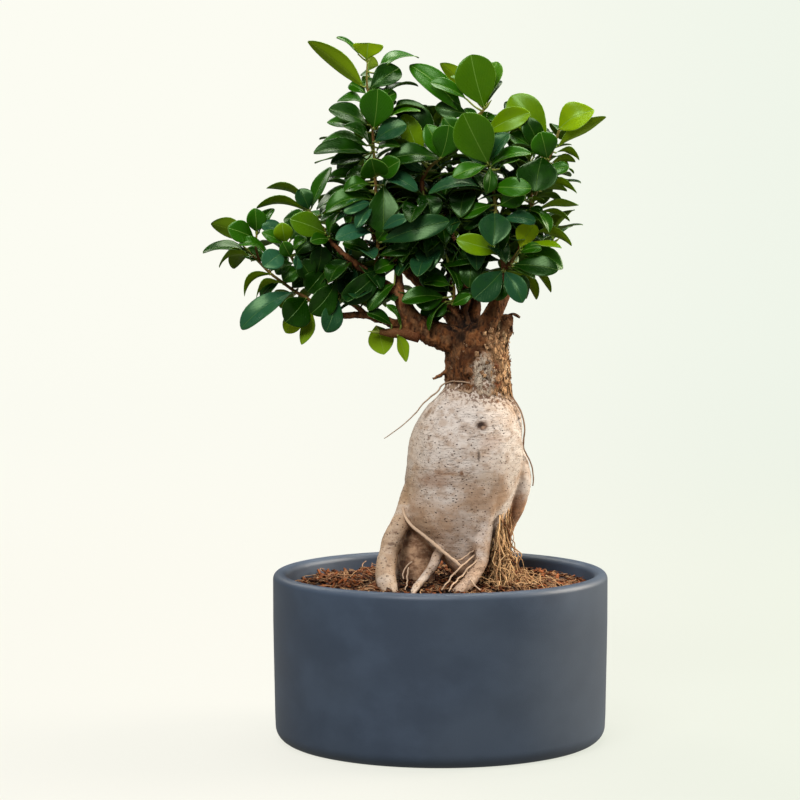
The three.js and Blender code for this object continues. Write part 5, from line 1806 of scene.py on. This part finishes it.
def grow_shoot(name, shoot):
    rows = np.array(seen_rows(shoot["stem"])) * [1, 1, 1, twig_thinness]
    stem = rows[:, :3]
    leaves = [read_leaf(stem, row) for row in shoot.get("leaves", [])]
    if "ring" in shoot:
        leaves += [ruled_leaf(stem, i, *shoot["ring"]) for i in range(shoot["ring"][0])]
    if name in limb_fillers:
        limb, first, rule = limb_fillers[name]
        perch = np.array(seen_rows(limb_rows[limb][first:]))[:, :3]
        leaves += [filler_leaf(perch, i, *rule) for i in range(rule[0])]
    if name in fillers:
        leaves += [filler_leaf(stem, i, *fillers[name]) for i in range(fillers[name][0])]
    shape = Shape()
    for leaf in leaves:
        grow_leaf(shape, leaf)
    fine = smooth_rows(rows, 4)
    greenness = np.repeat(np.linspace(0, shoot.get("green", usual_green), len(fine)), 8)
    shape.add(tube(fine, 8), 3, tone=greenness)
    grow_bud(shape, rows)
    keep(shape.make(name, [leaf_top, leaf_back, stalk, twig]), [name])
    return len(leaves)


leaf_total = sum(grow_shoot(name, shoot) for name, shoot in shoots.items())
print("leaves:", leaf_total)

# %% [markdown]
# ## The studio
#
# The floor is a plain pale sweep that glows a little, as a lit white floor does, so it meets the backdrop
# without a line and keeps the shadow soft. The light is a big cool softbox above the front, a warm one
# behind on the right that edges the leaves and bark, and a smaller one behind on the left.

# %% Floor
floor_radius = 60000
floor_sides = 96
backdrop_left = colour(252, 252, 242)
backdrop_right = colour(239, 245, 233)
# From left to right the backdrop's tone changes between these two headings.
sweep_start = -0.08
sweep_end = 0.15
# The floor glows less where the lights reach it, within a metre or so, so that it looks evenly bright.
lit_reach = 2.86
near_left = (0.79, 0.785, 0.71, 1)
near_right = (0.66, 0.705, 0.61, 1)
onto_plant = (0.2, 0.2, 0.18, 1)
ambient = (0.15, 0.155, 0.16, 1)
paper_tone = (0.085, 0.083, 0.081, 1)


def less_ambient(tone):
    """The glow that looks like this tone once the paper has reflected the ambient light as well."""
    return tuple(value - light * share for value, light, share in zip(tone, ambient, paper_tone))


paper = Finish("studio_floor")
floor_place = place_on(paper)
from_eye = vector_math("ADD", floor_place, (0, eye_distance * mm, 0))
floor_right = step(axis(floor_place, "X") / length_of(from_eye), sweep_start, sweep_end)
far_glow = mix(floor_right, less_ambient(backdrop_left), less_ambient(backdrop_right))
near_glow = mix(floor_right, near_left, near_right)
away = length_of(floor_place)
floor_glow = mix(1 / (1 + away * away * away / lit_reach), far_glow, near_glow)
direct = paper.node("ShaderNodeLightPath", {}, {}, "Is Camera Ray")
paper.paint(
    base_color=paper_tone,
    roughness=1,
    emission_color=mix(direct, onto_plant, floor_glow),
    emission_strength=1,
    specular=0,
)
floor_shape = Shape()
turns = round_turns(floor_sides)
rim = np.column_stack([np.cos(turns), np.sin(turns), np.zeros(floor_sides)]) * floor_radius
floor_shape.add((rim, [list(range(floor_sides))]))
floor = floor_shape.make("floor", [paper])
floor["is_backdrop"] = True
print("floor out to", floor_radius * mm, "m")

# %% Backdrop light
world = bpy.data.worlds.new("studio")
world.use_nodes = True
scene.world = world
sky = Tree(world.node_tree, "Background")
heading = axis(sky.node("ShaderNodeTexCoord", {}, {}, "Generated"), "X")
backdrop = mix(step(heading, sweep_start, sweep_end), backdrop_left, backdrop_right)
direct = sky.node("ShaderNodeLightPath", {}, {}, "Is Camera Ray")
sky.plug(sky.shader, {"Color": mix(direct, ambient, backdrop)})
print("nodes in the backdrop:", len(world.node_tree.nodes))

# %% Softboxes
crown = Vector((0, 0, 0.28))
# Each: its place in metres, its side, its watts and its tint
softboxes = {
    "front": [(-0.45, -1.35, 1.55), 0.9, 38, (0.97, 0.98, 1.0)],
    "warm_right": [(1.3, 0.3, 0.75), 0.8, 33, (1.0, 0.91, 0.78)],
    "left_back": [(-1.0, 1.0, 1.3), 0.7, 10, (1.0, 0.97, 0.88)],
    "top": [(0.1, 0.4, 1.6), 0.9, 26, (1.0, 0.98, 0.9)],
}
for name, (place, side, watts, tint) in softboxes.items():
    box = bpy.data.lights.new(name, "AREA")
    box.size = side
    box.energy = watts
    box.color = tint
    lamp = bpy.data.objects.new(name, box)
    lamp.location = place
    lamp.rotation_euler = (crown - Vector(place)).to_track_quat("-Z", "Y").to_euler()
    scene.collection.objects.link(lamp)
print("softboxes:", len(softboxes))

# %% [markdown]
# ## Sizes
#
# The finer shapes must not outgrow the imported model, so the box round them is worked out.

# %% Sizes
low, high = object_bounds()
